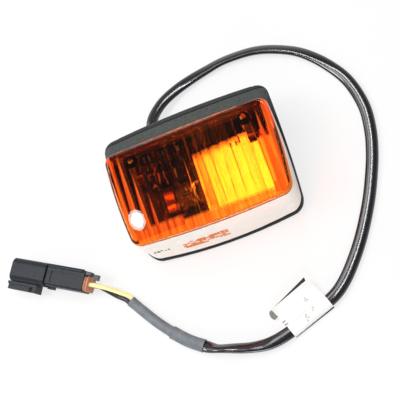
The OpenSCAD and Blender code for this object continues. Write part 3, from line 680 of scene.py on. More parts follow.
def solid_copy(node: str, name: str, stock: Stock, round_mm: float = 0.0, sharp_deg: float = 30.0,
               merge_flat: bool = True, facet: Callable[[bpy.types.MeshPolygon], bool] | None = None,
               ) -> bpy.types.Object:
    """Copy a CAD node into a merged, softly edged piece that stands for it.

    Args:
        node: the CAD node.
        name: the new piece's name.
        stock: its finish.
        round_mm: radius put on its edges, or 0 for none.
        sharp_deg: edges flatter than this are shaded smooth.
        merge_flat: whether triangles in one plane become one face.
        facet: a test that picks the faces that stay flat.

    Returns:
        The piece, riding on the lamp and replacing the node.
    """
    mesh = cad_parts[node].data.copy()
    merge(mesh, merge_flat)
    obj = bpy.data.objects.new(name, mesh)
    bpy.context.scene.collection.objects.link(obj)
    if round_mm > 0:
        bevel = obj.modifiers.new("edge", "BEVEL")
        bevel.width = round_mm * MM
        bevel.segments = EDGE_STEPS
        bevel.angle_limit = math.radians(sharp_deg)
        bevel.use_clamp_overlap = True
        flatten(obj)
    soften(obj.data, sharp_deg)
    for face in obj.data.polygons:
        if facet and facet(face):
            face.use_smooth = False
    level = obj.modifiers.new("flat_faces", "WEIGHTED_NORMAL")
    level.keep_sharp = True
    level.weight = FLAT_WEIGHT
    flatten(obj)
    RACK.dress(obj, stock)
    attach(obj, "root")
    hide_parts(node)
    return obj


def run_tree(name: str, tree: bpy.types.NodeTree, values: dict[str, object]) -> bpy.types.Object:
    """Run a Geometry Nodes tree and keep its result as a plain mesh.

    Args:
        name: the piece's name.
        tree: the node tree.
        values: its inputs by name.

    Returns:
        The piece, with no modifier left on it.
    """
    obj = bpy.data.objects.new(name, bpy.data.meshes.new(name))
    bpy.context.scene.collection.objects.link(obj)
    modifier = obj.modifiers.new("tree", "NODES")
    modifier.node_group = tree
    sockets = {item.name: item.identifier for item in tree.interface.items_tree if item.in_out == "INPUT"}
    for key, value in values.items():
        modifier[sockets[key]] = value
    flatten(obj)
    return obj


def smooth_line(points: list[Point], steps: int) -> list[Vector]:
    """Run a smooth curve through given points.

    Args:
        points: the route's points in millimetres.
        steps: how many steps each span is cut into.

    Returns:
        Points along the curve, in metres.
    """
    knots = [Vector(p) * MM for p in points]
    line: list[Vector] = []
    for k in range(len(knots) - 1):
        a, b, c, d = knots[max(k - 1, 0)], knots[k], knots[k + 1], knots[min(k + 2, len(knots) - 1)]
        for j in range(steps):
            t = j / steps
            line.append(0.5 * (2 * b + (c - a) * t + (2 * a - 5 * b + 4 * c - d) * t * t
                               + (3 * b - a - 3 * c + d) * t * t * t))
    line.append(knots[-1])
    return line


def shares(line: list[Vector]) -> list[float]:
    """Give the share of a line's length that is done at each of its points.

    Args:
        line: the line's points.

    Returns:
        A share for each point, from 0 to 1.
    """
    done = [0.0]
    for a, b in zip(line, line[1:]):
        done.append(done[-1] + (b - a).length)
    return [length / done[-1] for length in done]


def skin(rings: list[list[Vector]], capped: bool = True) -> tuple[list[Vector], Faces]:
    """Join a row of rings into a tube.

    Args:
        rings: rings of equal length.
        capped: whether both ends are closed with a face.

    Returns:
        Points and faces.
    """
    n = len(rings[0])
    points = [p for ring in rings for p in ring]
    faces = [[j * n + i, j * n + (i + 1) % n, (j + 1) * n + (i + 1) % n, (j + 1) * n + i]
             for j in range(len(rings) - 1) for i in range(n)]
    if capped:
        faces.append(list(range(n))[::-1])
        faces.append([(len(rings) - 1) * n + i for i in range(n)])
    return points, faces


def strip(first: int, count: int) -> Faces:
    """Give the faces of a strip whose points come in pairs.

    Args:
        first: the number of its first point.
        count: how many faces it has.

    Returns:
        The faces.
    """
    return [[first + 2 * k + corner for corner in (0, 1, 3, 2)] for k in range(count)]


def along(line: list[Vector], outline: Callable[[float], Outline],
          roll: Callable[[float], float] | None = None) -> list[list[Vector]]:
    """Carry an outline along a line, its width kept level unless it rolls.

    Args:
        line: the centre line in metres.
        outline: a function of the share of length done, giving (across, up) pairs in metres.
        roll: a function of the same share, giving the turn about the line in radians.

    Returns:
        One ring for each point of the line.
    """
    rings = []
    for i, (centre, share) in enumerate(zip(line, shares(line))):
        ahead = (line[min(i + 1, len(line) - 1)] - line[max(i - 1, 0)]).normalized()
        across = Vector((0, 0, 1)).cross(ahead).normalized()
        up = ahead.cross(across)
        turn = roll(share) if roll else 0.0
        wide = across * math.cos(turn) + up * math.sin(turn)
        tall = up * math.cos(turn) - across * math.sin(turn)
        rings.append([centre + wide * a + tall * b for a, b in outline(share)])
    return rings


def ramp(keys: list[tuple[float, float]], x: float) -> float:
    """Read a value between keys, eased at each of them.

    Args:
        keys: (place, value) pairs in order.
        x: the place to read.

    Returns:
        The value there.
    """
    for (x0, y0), (x1, y1) in zip(keys, keys[1:]):
        if x <= x1:
            t = min(max((x - x0) / (x1 - x0), 0.0), 1.0)
            return y0 + (y1 - y0) * t * t * (3 - 2 * t)
    return keys[-1][1]


def shown_rays(tree: bpy.types.NodeTree) -> bpy.types.NodeSocket:
    """Tell rays that show the surroundings from rays that light the object.

    Args:
        tree: the node tree of the world or of a material.

    Returns:
        A socket that is 1 for rays from the camera, off a gloss or through a clear piece, and else 0.
    """
    rays = add_node(tree, "ShaderNodeLightPath").outputs
    seen = add_node(tree, "ShaderNodeMath", {"operation": "MAXIMUM"},
                    {0: rays["Is Camera Ray"], 1: rays["Is Glossy Ray"]})
    return add_node(tree, "ShaderNodeMath", {"operation": "MAXIMUM"},
                    {0: seen.outputs[0], 1: rays["Is Transmission Ray"]}).outputs[0]


@dataclass(frozen=True)
class StudioLamp:
    """A soft light, round or long, placed as the camera sees it: across, up and towards the camera."""

    name: str
    direction: Point
    away_mm: float
    size_mm: float
    radiance: float
    long_mm: float = 0.0


@dataclass
class Studio:
    """The camera at the photograph's angle, the lights, and the pale floor."""

    # The camera: its angles in degrees, what it looks at, and its lens
    azimuth: float = 27.38
    elevation: float = 66.97
    roll: float = -45.75
    distance_mm: float = 385.49
    aim_mm: Point = (-9.57, -6.5, 0.0)
    lens_mm: float = 63.0
    sensor_mm: float = 36.0
    clip_m: tuple[float, float] = (0.01, 20.0)
    # The lamps: two broad ones, a strip for the lead's long highlight, side and front fill, and the glint
    lamps: tuple[StudioLamp, ...] = (
        StudioLamp("key_light", (-0.75, 0.1, 0.65), 620, 240, 9.5),
        StudioLamp("upper_light", (-0.515, 0.502, 0.694), 620, 220, 3.6),
        StudioLamp("strip_light", (-0.228, 0.571, 0.789), 634, 40, 19.0, 520),
        StudioLamp("side_light", (-0.9, 0.5, 0.25), 900, 500, 1.5),
        StudioLamp("front_light", (0.0, -0.75, 0.6), 640, 300, 5.4),
        StudioLamp("glint_light", (-0.549, 0.132, 0.825), 644, 15, 60.0, 21),
        StudioLamp("glint_rim_light", (-0.549, 0.132, 0.825), 646, 22, 14.0, 30),
    )
    # The surroundings: what they light the object with, and how they dim from low to straight above
    white: tuple[float, float, float, float] = (1.0, 1.0, 1.0, 1.0)
    fill_level: float = 0.42
    dim_from: float = 0.15
    dim_to: float = 0.8
    dim_level: float = 0.12
    # The floor: its size, its place just under the object, its tone and how much of it glows
    floor_half_m: float = 3.0
    floor_drop_mm: float = 0.05
    floor_tone: float = 0.9
    floor_glow: float = 0.72

    def axes(self) -> tuple[Vector, Vector, Vector]:
        """Work out the camera's axes from its angles.

        Returns:
            The directions across its view, up its view, and back to it.
        """
        az, el, roll = (math.radians(a) for a in (self.azimuth, self.elevation, self.roll))
        back = Vector((math.sin(az) * math.cos(el), -math.cos(az) * math.cos(el), math.sin(el)))
        right = (-back).cross(Vector((0, 0, 1))).normalized()
        up = right.cross(-back)
        across = right * math.cos(roll) + up * math.sin(roll)
        upward = up * math.cos(roll) - right * math.sin(roll)
        return across, upward, back

    def camera(self) -> None:
        """Place the camera and make it the scene's own."""
        data = bpy.data.cameras.new("camera")
        data.lens = self.lens_mm
        data.sensor_width = self.sensor_mm
        data.clip_start, data.clip_end = self.clip_m
        camera = bpy.data.objects.new("camera", data)
        across, upward, back = self.axes()
        turn = Matrix((across, upward, back)).transposed().to_4x4()
        place = Matrix.Translation((Vector(self.aim_mm) + back * self.distance_mm) * MM)
        camera.matrix_world = place @ turn
        bpy.context.scene.collection.objects.link(camera)
        bpy.context.scene.camera = camera

    def lights(self) -> None:
        """Add the soft lights, each turned towards the object, its long side in line with Y."""
        across, upward, back = self.axes()
        for lamp in self.lamps:
            right, up, near = lamp.direction
            direction = (across * right + upward * up + back * near).normalized()
            data = bpy.data.lights.new(lamp.name, "AREA")
            data.shape = "ELLIPSE" if lamp.long_mm else "DISK"
            data.size = lamp.size_mm * MM
            data.size_y = (lamp.long_mm or lamp.size_mm) * MM
            # Its power in watts is its radiance times pi times the area of its ellipse
            data.energy = lamp.radiance * math.pi * math.pi * data.size * data.size_y / 4
            light = bpy.data.objects.new(lamp.name, data)
            side = Vector((0, 1, 0)).cross(direction).normalized()
            turn = Matrix((side, direction.cross(side), direction)).transposed().to_4x4()
            light.matrix_world = Matrix.Translation(direction * lamp.away_mm * MM) @ turn
            bpy.context.scene.collection.objects.link(light)

    def world(self) -> None:
        """Make an even pale surrounding, which gloss and clear pieces show darker straight above."""
        world = bpy.data.worlds.new("studio")
        world.use_nodes = True
        tree = world.node_tree
        tree.nodes.clear()
        place = add_node(tree, "ShaderNodeTexCoord")
        axes = add_node(tree, "ShaderNodeSeparateXYZ", None, {0: place.outputs["Generated"]})
        height = add_node(tree, "ShaderNodeMapRange",
                          {"From Min": self.dim_from, "From Max": self.dim_to, "To Min": 1.0,
                           "To Max": self.dim_level},
                          {"Value": axes.outputs["Z"]})
        soft = add_node(tree, "ShaderNodeBackground", {"Color": self.white, "Strength": self.fill_level})
        bright = add_node(tree, "ShaderNodeBackground", {"Color": self.white},
                          {"Strength": height.outputs[0]})
        both = add_node(tree, "ShaderNodeMixShader", None,
                        {0: shown_rays(tree), 1: soft.outputs[0], 2: bright.outputs[0]})
        add_node(tree, "ShaderNodeOutputWorld", None, {"Surface": both.outputs[0]})
        bpy.context.scene.world = world

    def floor(self) -> None:
        """Lay a plain pale floor that shows near-white and keeps the object's shadow."""
        half, low = self.floor_half_m, -self.floor_drop_mm * MM
        corners = [(-half, -half, low), (half, -half, low), (half, half, low), (-half, half, low)]
        mesh = bpy.data.meshes.new("floor")
        mesh.from_pydata(corners, [], [[0, 1, 2, 3]])
        floor = bpy.data.objects.new("floor", mesh)
        bpy.context.scene.collection.objects.link(floor)
        material = bpy.data.materials.new("pale_floor")
        material.use_nodes = True
        tree = material.node_tree
        tree.nodes.clear()
        tone = (self.floor_tone, self.floor_tone, self.floor_tone, 1.0)
        matt = add_node(tree, "ShaderNodeBsdfDiffuse", {"Color": tone})
        glow = add_node(tree, "ShaderNodeEmission", {"Color": self.white, "Strength": 1.0})
        share = add_node(tree, "ShaderNodeMath", {"operation": "MULTIPLY", 1: self.floor_glow},
                         {0: shown_rays(tree)})
        both = add_node(tree, "ShaderNodeMixShader", None,
                        {0: share.outputs[0], 1: matt.outputs[0], 2: glow.outputs[0]})
        add_node(tree, "ShaderNodeOutputMaterial", None, {"Surface": both.outputs[0]})
        mesh.materials.append(material)

    def build(self) -> None:
        """Set up the whole studio."""
        self.camera()
        self.lights()
        self.world()
        self.floor()
        bpy.context.scene.view_settings.view_transform = "Standard"


@dataclass(frozen=True)
class Plug:
    """Where the connector lies: the middle of its rear face, its turn, and its two wire cavities."""

    place_mm: Point = (-81.6, -31.6, 6.6)
    turn_deg: float = 152.0
    pin_gap_mm: float = 4.2
    pin_side_mm: float = 0.9
    behind_mm: tuple[float, ...] = (7.0, 5.0, 2.41)

    def spot(self, x: float, y: float, z: float) -> Point:
        """Turn a point of the connector's own frame into the lamp's frame.

        Args:
            x: millimetres along the connector, towards its mouth.
            y: millimetres across it.
            z: millimetres up.

        Returns:
            The point in the lamp's frame, in millimetres.
        """
        c, s = math.cos(math.radians(self.turn_deg)), math.sin(math.radians(self.turn_deg))
        px, py, pz = self.place_mm
        return px + x * c - y * s, py + x * s + y * c, pz + z

    def wire_end(self, side: int) -> list[Point]:
        """Give a wire's last points, straight into the seal, on the side that 1 or -1 says."""
        return [self.spot(-x, self.pin_side_mm, side * self.pin_gap_mm / 2) for x in self.behind_mm]


@dataclass
class Lead:
    """The flat twin lead with its shrink sleeves and the two single wires.

    Roll and lift keys are pairs of a share of the lead's length and a value: the turn in degrees, and the
    part it takes of the lift that a turned oval needs.
    """

    # The twin jacket: its section, an ellipse where square is 1, and the steps of its route
    width_mm: float = 6.6
    height_mm: float = 3.4
    square: float = 0.9
    sides: int = 36
    steps: int = 6
    # The single wires
    wire_mm: float = 2.5
    wire_sides: int = 20
    # The sleeves: width and height outside, the bore as a share of them, and the lips at both ends
    wide_size_mm: tuple[float, float] = (7.2, 4.6)
    narrow_size_mm: tuple[float, float] = (6.0, 4.6)
    sleeve_bore: float = 0.8
    sleeve_sides: int = 28
    sleeve_steps: int = 10
    lip: float = 0.05
    lip_reach: float = 0.06
    sharp_deg: float = 50.0
    # The routes, the same as in the construction, in millimetres
    flex_mm: list[Point] = field(default_factory=lambda: [
        (-23, 35.4, 8), (-23, 40.5, 8), (-22, 45.5, 7.3), (-18.8, 50.8, 6.1),
        (-12.6, 56.6, 4.7), (-3.5, 61.3, 3.4), (6, 64.4, 2.5), (15, 66.4, 1.9), (25, 67.9, 1.7),
        (35, 67.8, 1.7), (45.5, 66.4, 1.7), (55.5, 62.8, 1.7), (67, 56.2, 1.7), (75.5, 48, 1.7),
        (82.5, 38.2, 1.7), (87, 29, 1.7), (89.5, 19, 1.7), (90.3, 8, 1.7), (88.6, -4, 1.7),
        (85.8, -14, 1.7), (82, -24, 1.7), (75, -39, 1.7), (65.5, -55, 1.7), (56.5, -67, 1.7),
        (48.5, -75.5, 1.9), (41, -80.6, 2.2), (28.5, -85.4, 2.2), (16, -90.2, 2.2),
        (5, -92.4, 1.8), (-5, -91.6, 1.7), (-15, -89, 1.9), (-23, -86.6, 2.2),
        (-28.5, -83.5, 2.4)])
    wide_mm: list[Point] = field(default_factory=lambda: [
        (-28.5, -83.5, 2.4), (-35.8, -78.4, 2.4), (-43, -71.6, 2.4)])
    narrow_mm: list[Point] = field(default_factory=lambda: [
        (-43, -71.6, 2.4), (-48.2, -65.8, 2.4), (-52.8, -60, 2.4), (-61, -48.6, 2.4)])
    yellow_mm: list[Point] = field(default_factory=lambda: [
        (-60, -47.7, 2.4), (-61.8, -45.2, 2.8), (-66.8, -41.4, 4.7), (-71.2, -38.3, 7.4)])
    black_mm: list[Point] = field(default_factory=lambda: [
        (-62.2, -49.2, 2.4), (-64, -46.7, 2.2), (-68.2, -43.2, 2.4), (-71.6, -39.8, 3.6)])
    plug: Plug = Plug()
    roll_keys: list[tuple[float, float]] = field(default_factory=lambda: [
        (0.0, 0.0), (0.1, 0.0), (0.2, -28.0), (0.3, -24.0), (0.42, 4.0), (0.8, 0.0),
        (0.88, 8.0), (0.94, 42.0), (0.975, 58.0), (1.0, 24.0)])
    lift_keys: list[tuple[float, float]] = field(default_factory=lambda: [
        (0.0, 0.0), (0.06, 0.0), (0.3, 1.0), (0.97, 1.0), (1.0, 0.0)])

    def roll(self, share: float) -> float:
        """Give the lead's turn about its own line, in radians."""
        return math.radians(ramp(self.roll_keys, share))

    def twin(self) -> Outline:
        """Work out the jacket's outline: an oval over two cores, a little flattened.

        Returns:
            The outline in metres.
        """
        half_w, half_h = self.width_mm / 2 * MM, self.height_mm / 2 * MM
        turns = [2 * math.pi * k / self.sides for k in range(self.sides)]
        return [(half_w * math.copysign(abs(math.cos(a)) ** self.square, math.cos(a)),
                 half_h * math.copysign(abs(math.sin(a)) ** self.square, math.sin(a))) for a in turns]

    def twin_line(self) -> list[Vector]:
        """Work out the lead's centre line, lifted where it rolls so that it rests on the surface.

        Returns:
            Its points in metres.
        """
        line = smooth_line(self.flex_mm, self.steps)
        spread = (self.width_mm - self.height_mm) / 2 * MM
        lifted = []
        for p, share in zip(line, shares(line)):
            lift = spread * abs(math.sin(self.roll(share))) * ramp(self.lift_keys, share)
            lifted.append(p + Vector((0, 0, lift)))
        return lifted

    def flex(self) -> tuple[bpy.types.Object, list[Vector]]:
        """Make the flat twin lead, with each ring raised that would dip under the surface.

        Returns:
            The piece and its centre line.
        """
        line = self.twin_line()
        outline = self.twin()
        rings = along(line, lambda _: outline, self.roll)
        for ring in rings:
            under = min(0.0, min(p.z for p in ring))
            for p in ring:
                p.z -= under
        points, faces = skin(rings)
        return new_piece("twin_lead", points, faces, Stock.GLOSSY_PVC), line

    def tube(self, name: str, line_mm: list[Point], size_mm: tuple[float, float]) -> bpy.types.Object:
        """Make a shrunk sleeve: an oval tube with lips at both ends.

        Args:
            name: the piece's name.
            line_mm: its centre line.
            size_mm: its width and height outside.

        Returns:
            The piece.
        """
        line = smooth_line(line_mm, self.sleeve_steps)
        half_w, half_h = (side / 2 * MM for side in size_mm)
        turns = [2 * math.pi * k / self.sleeve_sides for k in range(self.sleeve_sides)]

        def oval(share: float, scale: float = 1.0) -> Outline:
            """Work out the sleeve's outline, a little fuller at its ends.

            Args:
                share: the share of its length done.
                scale: 1 outside, and less in the bore.

            Returns:
                The outline in metres.
            """
            full = scale * (1 - self.lip * min(min(share, 1 - share) / self.lip_reach, 1.0))
            return [(half_w * full * math.cos(a), half_h * full * math.sin(a)) for a in turns]

        outside = along(line, oval)
        inside = along(line, lambda share: oval(share, self.sleeve_bore))[::-1]
        points, faces = skin(outside + inside + [outside[0]], capped=False)
        sleeve = new_piece(name, points, faces, Stock.SHRUNK_POLYOLEFIN)
        merge(sleeve.data, flat=False)
        soften(sleeve.data, self.sharp_deg)
        return sleeve

    def wire(self, name: str, line_mm: list[Point], stock: Stock) -> bpy.types.Object:
        """Make a single round wire.

        Args:
            name: the piece's name.
            line_mm: its centre line.
            stock: its finish.

        Returns:
            The piece.
        """
        radius = self.wire_mm / 2 * MM
        turns = [2 * math.pi * k / self.wire_sides for k in range(self.wire_sides)]
        outline = [(radius * math.cos(a), radius * math.sin(a)) for a in turns]
        points, faces = skin(along(smooth_line(line_mm, self.steps), lambda _: outline))
        wire = new_piece(name, points, faces, stock)
        soften(wire.data, self.sharp_deg)
        return wire

    def build(self, others: list[bpy.types.Object], tag: list[bpy.types.Object]) -> list[bpy.types.Object]:
        """Args:
            others: the connector's pieces at its far end, and the grommet where it leaves the lamp; not used.
            tag: the tag's pieces; not used.

        Returns:
            The lead, its sleeves and its wires.
        """
        flex, line = self.flex()
        wide = self.tube("splice_sleeve_wide", self.wide_mm, self.wide_size_mm)
        narrow = self.tube("splice_sleeve_narrow", self.narrow_mm, self.narrow_size_mm)
        yellow = self.wire("single_wire_yellow", self.yellow_mm + self.plug.wire_end(1), Stock.YELLOW_PVC)
        black = self.wire("single_wire_black", self.black_mm + self.plug.wire_end(-1), Stock.BLACK_PVC)
        made = [flex, wide, narrow, yellow, black]
        nodes = ("flex", "wide_sleeve", "narrow_sleeve", "yellow_wire", "black_wire")
        slots = ("pvc_black", "sleeve_grey", "sleeve_grey", "wire_yellow", "wire_black")
        for piece, node, slot in zip(made, nodes, slots):
            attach(piece, "root")
            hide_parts(node)
        return made


@dataclass
class Tag:
    """White film wrapped round the lead and stuck to itself as a flag, with faint plain dashes on it.

    A share runs along the lead, from 0 at the tag's near end to 1 at its far end. The flag sags in its
    middle, lifts towards its outer edge and its far end, and curls at its near outer corner. A stroke is
    given by its share, the millimetres across the lead, and its length.
    """

    # Where it is on the lead, its own length, the length of its solid, and its slant
    start_mm: Point = (16.0, -90.2, 2.2)
    end_mm: Point = (41.0, -80.6, 2.2)
    length_mm: float = 24.2
    solid_mm: float = 25.5
    skew_mm: float = 1.2
    rings: int = 40
    sharp_deg: float = 40.0
    # The film, and its loop round the lead
    film_mm: float = 0.3
    loop_w_mm: float = 7.4
    loop_h_mm: float = 4.2
    loop_steps: int = 24
    loop_square: float = 2.5
    # The flag: its width, sag, lift and curled corner
    flag_mm: float = 11.2
    flag_steps: int = 16
    flag_join_mm: float = 0.3
    sag_mm: float = 0.9
    far_sag_loss: float = 0.5
    lift_mm: float = 2.2
    near_lift: float = 0.2
    curl_mm: float = 1.6
    curl_reach: float = 0.16
    curl_power: float = 1.5
    curl_from: float = 0.4
    curl_pull: float = 0.4
    # The strokes printed on it
    strokes: tuple[Point, ...] = (
        (0.67, 8.3, 2.0), (0.64, 7.3, 1.3), (0.69, 6.9, 0.8), (0.66, 1.9, 1.4), (0.62, 1.0, 0.8),
        (0.46, 1.4, 0.9), (0.43, 0.4, 1.7), (0.47, -0.5, 0.8), (0.41, -1.5, 1.0),
    )
    stroke_half_mm: float = 0.2
    stroke_steps: int = 4
    print_mm: float = 0.03
    print_gap_mm: float = 0.04
    # Painted shade: dark sheets past the lifted edge and under the loop's free side, and in two short creases
    shade_sheet_mm: float = 0.12
    shade_steps: int = 18
    tuck_mm: float = 0.6
    shade_wedge_mm: float = 1.9
    shade_wedge_least_mm: float = 0.1
    shade_wedge_power: float = 1.1
    shade_wedge_slant: float = 0.5
    shade_wedge_from: float = 0.03
    shade_wedge_reach: float = 0.9
    shade_wedge_drops_mm: tuple[float, float] = (0.65, 0.75)
    edge_mm: float = 0.42
    near_edge: float = 0.2
    edge_up_mm: float = -1.9
    creases_at: tuple[float, ...] = (0.06, 0.22)
    crease_w_mm: float = 0.4
    crease_ends_mm: tuple[float, float] = (0.1, 1.9)
    crease_shift_mm: float = 0.6
    # The curled end: its radius, how far it turns, and how it bulges along the edge
    roll_mm: float = 1.75
    roll_deg: float = 100.0
    roll_steps: int = 12
    roll_rows: int = 8
    roll_share: float = 0.42
    roll_stretch: float = 1.7
    roll_drop_mm: float = 0.1
    bulge_from: float = 0.1
    bulge_reach: float = 0.7
    # The tag's own axes and where it begins
    ahead: Vector = field(init=False)
    side: Vector = field(init=False)
    first: Vector = field(init=False)

    def __post_init__(self) -> None:
        """Work out the tag's own axes and where it begins."""
        a, b = Vector(self.start_mm), Vector(self.end_mm)
        self.ahead = (b - a).normalized()
        self.side = Vector((0, 0, 1)).cross(self.ahead).normalized()
        self.first = a + self.ahead * ((b - a).length - self.solid_mm) / 2

    def film(self, share: float, v: float) -> tuple[float, float]:
        """Give a place on the flag's upper face.

        Args:
            share: the share along the lead.
            v: the place across the flag, from 0 at the loop to 1 at its outer edge.

        Returns:
            The distance across the lead and the height over its middle, in millimetres.
        """
        near = max(0.0, 1 - share / self.curl_reach) ** self.curl_power
        curl = self.curl_mm * near * max(0.0, v - self.curl_from)
        sag = self.sag_mm * math.sin(math.pi * v) * (1 - self.far_sag_loss * share)
        lift = self.lift_mm * (self.near_lift + (1 - self.near_lift) * share) * v * v
        across = self.loop_w_mm / 2 - self.flag_join_mm + v * self.flag_mm - self.curl_pull * curl
        return across, self.film_mm - sag + lift + curl

    def top(self, share: float, across: float) -> float:
        """Give the height of the tag's upper face over the lead's middle, in millimetres.

        Args:
            share: the share along the lead.
            across: the distance across the lead, in millimetres.

        Returns:
            The height.
        """
        half_w, half_h = self.loop_w_mm / 2, self.loop_h_mm / 2
        if across > half_w - self.flag_join_mm:
            return self.film(share, (across - half_w + self.flag_join_mm) / self.flag_mm)[1]
        past = max(0.0, abs(across) - (half_w - half_h))
        return math.sqrt(max(half_h ** 2 - past ** 2, 0.0))

    def section(self, share: float) -> Outline:
        """Work out the film's closed outline across the lead: the flag's two faces and the loop.

        Args:
            share: the share along the lead.

        Returns:
            The outline in millimetres.
        """
        top = [self.film(share, 1 - k / self.flag_steps) for k in range(self.flag_steps + 1)]
        half_w, half_h = self.loop_w_mm / 2, self.loop_h_mm / 2
        flat = half_w - half_h
        loop = []
        for k in range(1, self.loop_steps):
            a = k * 2 * math.pi / self.loop_steps
            middle = flat * min(max(self.loop_square * math.cos(a), -1), 1)
            loop.append((middle + half_h * math.cos(a), half_h * math.sin(a)))
        under = [(x, y - 2 * self.film_mm) for x, y in reversed(top)]
        return top + loop + under

    def spot(self, along_mm: float, across_mm: float, up_mm: float) -> Vector:
        """Give a place on the tag, never lower than the surface it lies on.

        Args:
            along_mm: the distance along the lead from the tag's near end.
            across_mm: the distance across the lead from its middle.
            up_mm: the height over the lead's middle.

        Returns:
            The place in metres.
        """
        skew = self.skew_mm * max(0.0, across_mm - self.loop_w_mm / 2) / self.flag_mm
        p = self.first + self.ahead * (along_mm - skew) + self.side * across_mm
        return Vector((p.x, p.y, max(p.z + up_mm, self.film_mm / 3))) * MM

    def dashes(self) -> bpy.types.Object:
        """Make faint grey dashes printed on the flag: plain strokes, no letters.

        Returns:
            The piece.
        """
        points: list[Vector] = []
        faces: Faces = []
        for share, across, size in self.strokes:
            faces += strip(len(points), self.stroke_steps)
            for k in range(self.stroke_steps + 1):
                place = across + size * (k / self.stroke_steps - 0.5)
                height = self.top(share, place) + self.print_gap_mm
                for step in (-self.stroke_half_mm, self.stroke_half_mm):
                    points.append(self.spot(share * self.length_mm + step, place, height))
        return sheet("tag_dashes", points, faces, Stock.GREY_PRINT, self.print_mm)

    def lifted_edge(self) -> list[Vector]:
        """Follow the painted shadow past the flag's lifted edge, wider towards the far end.

        Returns:
            Pairs of points, the inner and the outer one at each step.
        """
        pairs = []
        inner_drop, outer_drop = self.shade_wedge_drops_mm
        for k in range(self.shade_steps + 1):
            done = k / self.shade_steps
            share = self.shade_wedge_from + self.shade_wedge_reach * done
            across, up = self.film(share, 1.0)
            wide = self.shade_wedge_least_mm + self.shade_wedge_mm * done ** self.shade_wedge_power
            place = share * self.length_mm
            pairs.append(self.spot(place, across - self.tuck_mm, up - inner_drop))
            pairs.append(self.spot(place + self.shade_wedge_slant * wide, across + wide, up - outer_drop))
        return pairs

    def lower_edge(self) -> list[Vector]:
        """Follow the painted shadow under the loop's free side.

        Returns:
            Pairs of points, the inner and the outer one at each step.
        """
        pairs = []
        side = -self.loop_w_mm / 2
        for k in range(self.shade_steps + 1):
            done = k / self.shade_steps
            outer = side - self.edge_mm * (self.near_edge + (1 - self.near_edge) * done)
            for across in (side + self.tuck_mm, outer):
                pairs.append(self.spot(self.length_mm * done, across, self.edge_up_mm))
        return pairs

    def creases(self) -> list[list[Vector]]:
        """Set out the short creases at the flag's near end, dark with painted shade.

        Returns:
            The four corners of each.
        """
        (near, far), width = self.crease_ends_mm, self.crease_w_mm
        made = []
        for v in self.creases_at:
            corners = []
            for along_mm, wide in ((near, 0.0), (near, width), (far, width), (far, 0.0)):
                across, up = self.film(along_mm / self.length_mm, v + wide / self.flag_mm)
                corners.append(self.spot(along_mm - self.crease_shift_mm, across, up + self.print_gap_mm))
            made.append(corners)
        return made

    def shade_sheets(self) -> bpy.types.Object:
        """Make the painted shade about the film: dark sheets at two edges, and in its creases.

        Returns:
            The piece.
        """
        points: list[Vector] = []
        faces: Faces = []
        for pairs in (self.lifted_edge(), self.lower_edge()):
            faces += strip(len(points), self.shade_steps)
            points += pairs
        for corners in self.creases():
            faces.append([len(points) + k for k in range(len(corners))])
            points += corners
        return sheet("tag_painted_shade", points, faces, Stock.FILM_SHADE, self.shade_sheet_mm)

    def curl(self) -> bpy.types.Object:
        """Make the film's end that curls out and down past the flag's near edge.

        Returns:
            The piece.
        """
        points = []
        for i in range(self.roll_rows + 1):
            done = i / self.roll_rows
            across, up = self.film(0.0, 1.0 - self.roll_share * done)
            bulge = math.sqrt(math.sin(math.pi * (self.bulge_from + self.bulge_reach * done)))
            radius = self.roll_mm * bulge
            for k in range(self.roll_steps + 1):
                a = math.radians(self.roll_deg * k / self.roll_steps)
                down = self.roll_drop_mm + radius * (1 - math.cos(a))
                points.append(self.spot(-self.roll_stretch * radius * math.sin(a), across, up - down))
        n = self.roll_steps + 1
        faces = [[i * n + k, i * n + k + 1, (i + 1) * n + k + 1, (i + 1) * n + k]
                 for i in range(self.roll_rows) for k in range(self.roll_steps)]
        # Its finish paints the shade of the curl
        return sheet("tag_curl", points, faces, Stock.FILM_CURL, self.shade_sheet_mm)

    def wrap(self) -> bpy.types.Object:
        """Make the film itself, round the lead and out to the flag's edge.

        Returns:
            The piece, which stands for the CAD tag.
        """
        rings = [[self.spot(self.length_mm * i / self.rings, x, y) for x, y in self.section(i / self.rings)]
                 for i in range(self.rings + 1)]
        points, faces = skin(rings)
        tag = new_piece("wrap_tag", points, faces, Stock.WHITE_FILM)
        soften(tag.data, self.sharp_deg)
        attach(tag, "root")
        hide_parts("cable_tag")
        return tag

    def build(self) -> list[bpy.types.Object]:
        """Build the tag.

        Returns:
            Its pieces.
        """
        tag = self.wrap()
        extras = [self.dashes(), self.shade_sheets(), self.curl()]
        for piece in extras:
            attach(piece, "root")
        return [tag, *extras]


@dataclass
class Connector:
    """The sealed two-way connector and what is on it."""

    edge_mm: float = 0.25
    small_edge_mm: float = 0.15
    pin_edge_mm: float = 0.1

    def build(self) -> list[bpy.types.Object]:
        """Build the connector's pieces.

        Returns:
            The pieces.
        """
        made = []
        large, small = self.edge_mm, self.small_edge_mm
        for node, name, stock, edge_mm, slot in (
                ("connector_housing", "connector_body", Stock.MOULDED_NYLON, large, "connector_black"),
                ("connector_latch", "connector_slide", Stock.MOULDED_NYLON, large, "connector_black"),
                ("secondary_lock", "connector_wedge", Stock.GREY_NYLON, small, "lock_grey"),
                ("wire_seal", "connector_wire_seal", Stock.ORANGE_SILICONE, small, "seal_orange"),
                ("face_seal", "connector_face_seal", Stock.ORANGE_SILICONE, small, "seal_orange"),
                ("terminal_pins", "connector_pins", Stock.TINNED_COPPER, self.pin_edge_mm, "terminal_tin")):
            piece = solid_copy(node, name, stock, edge_mm)
            made.append(piece)
        return made


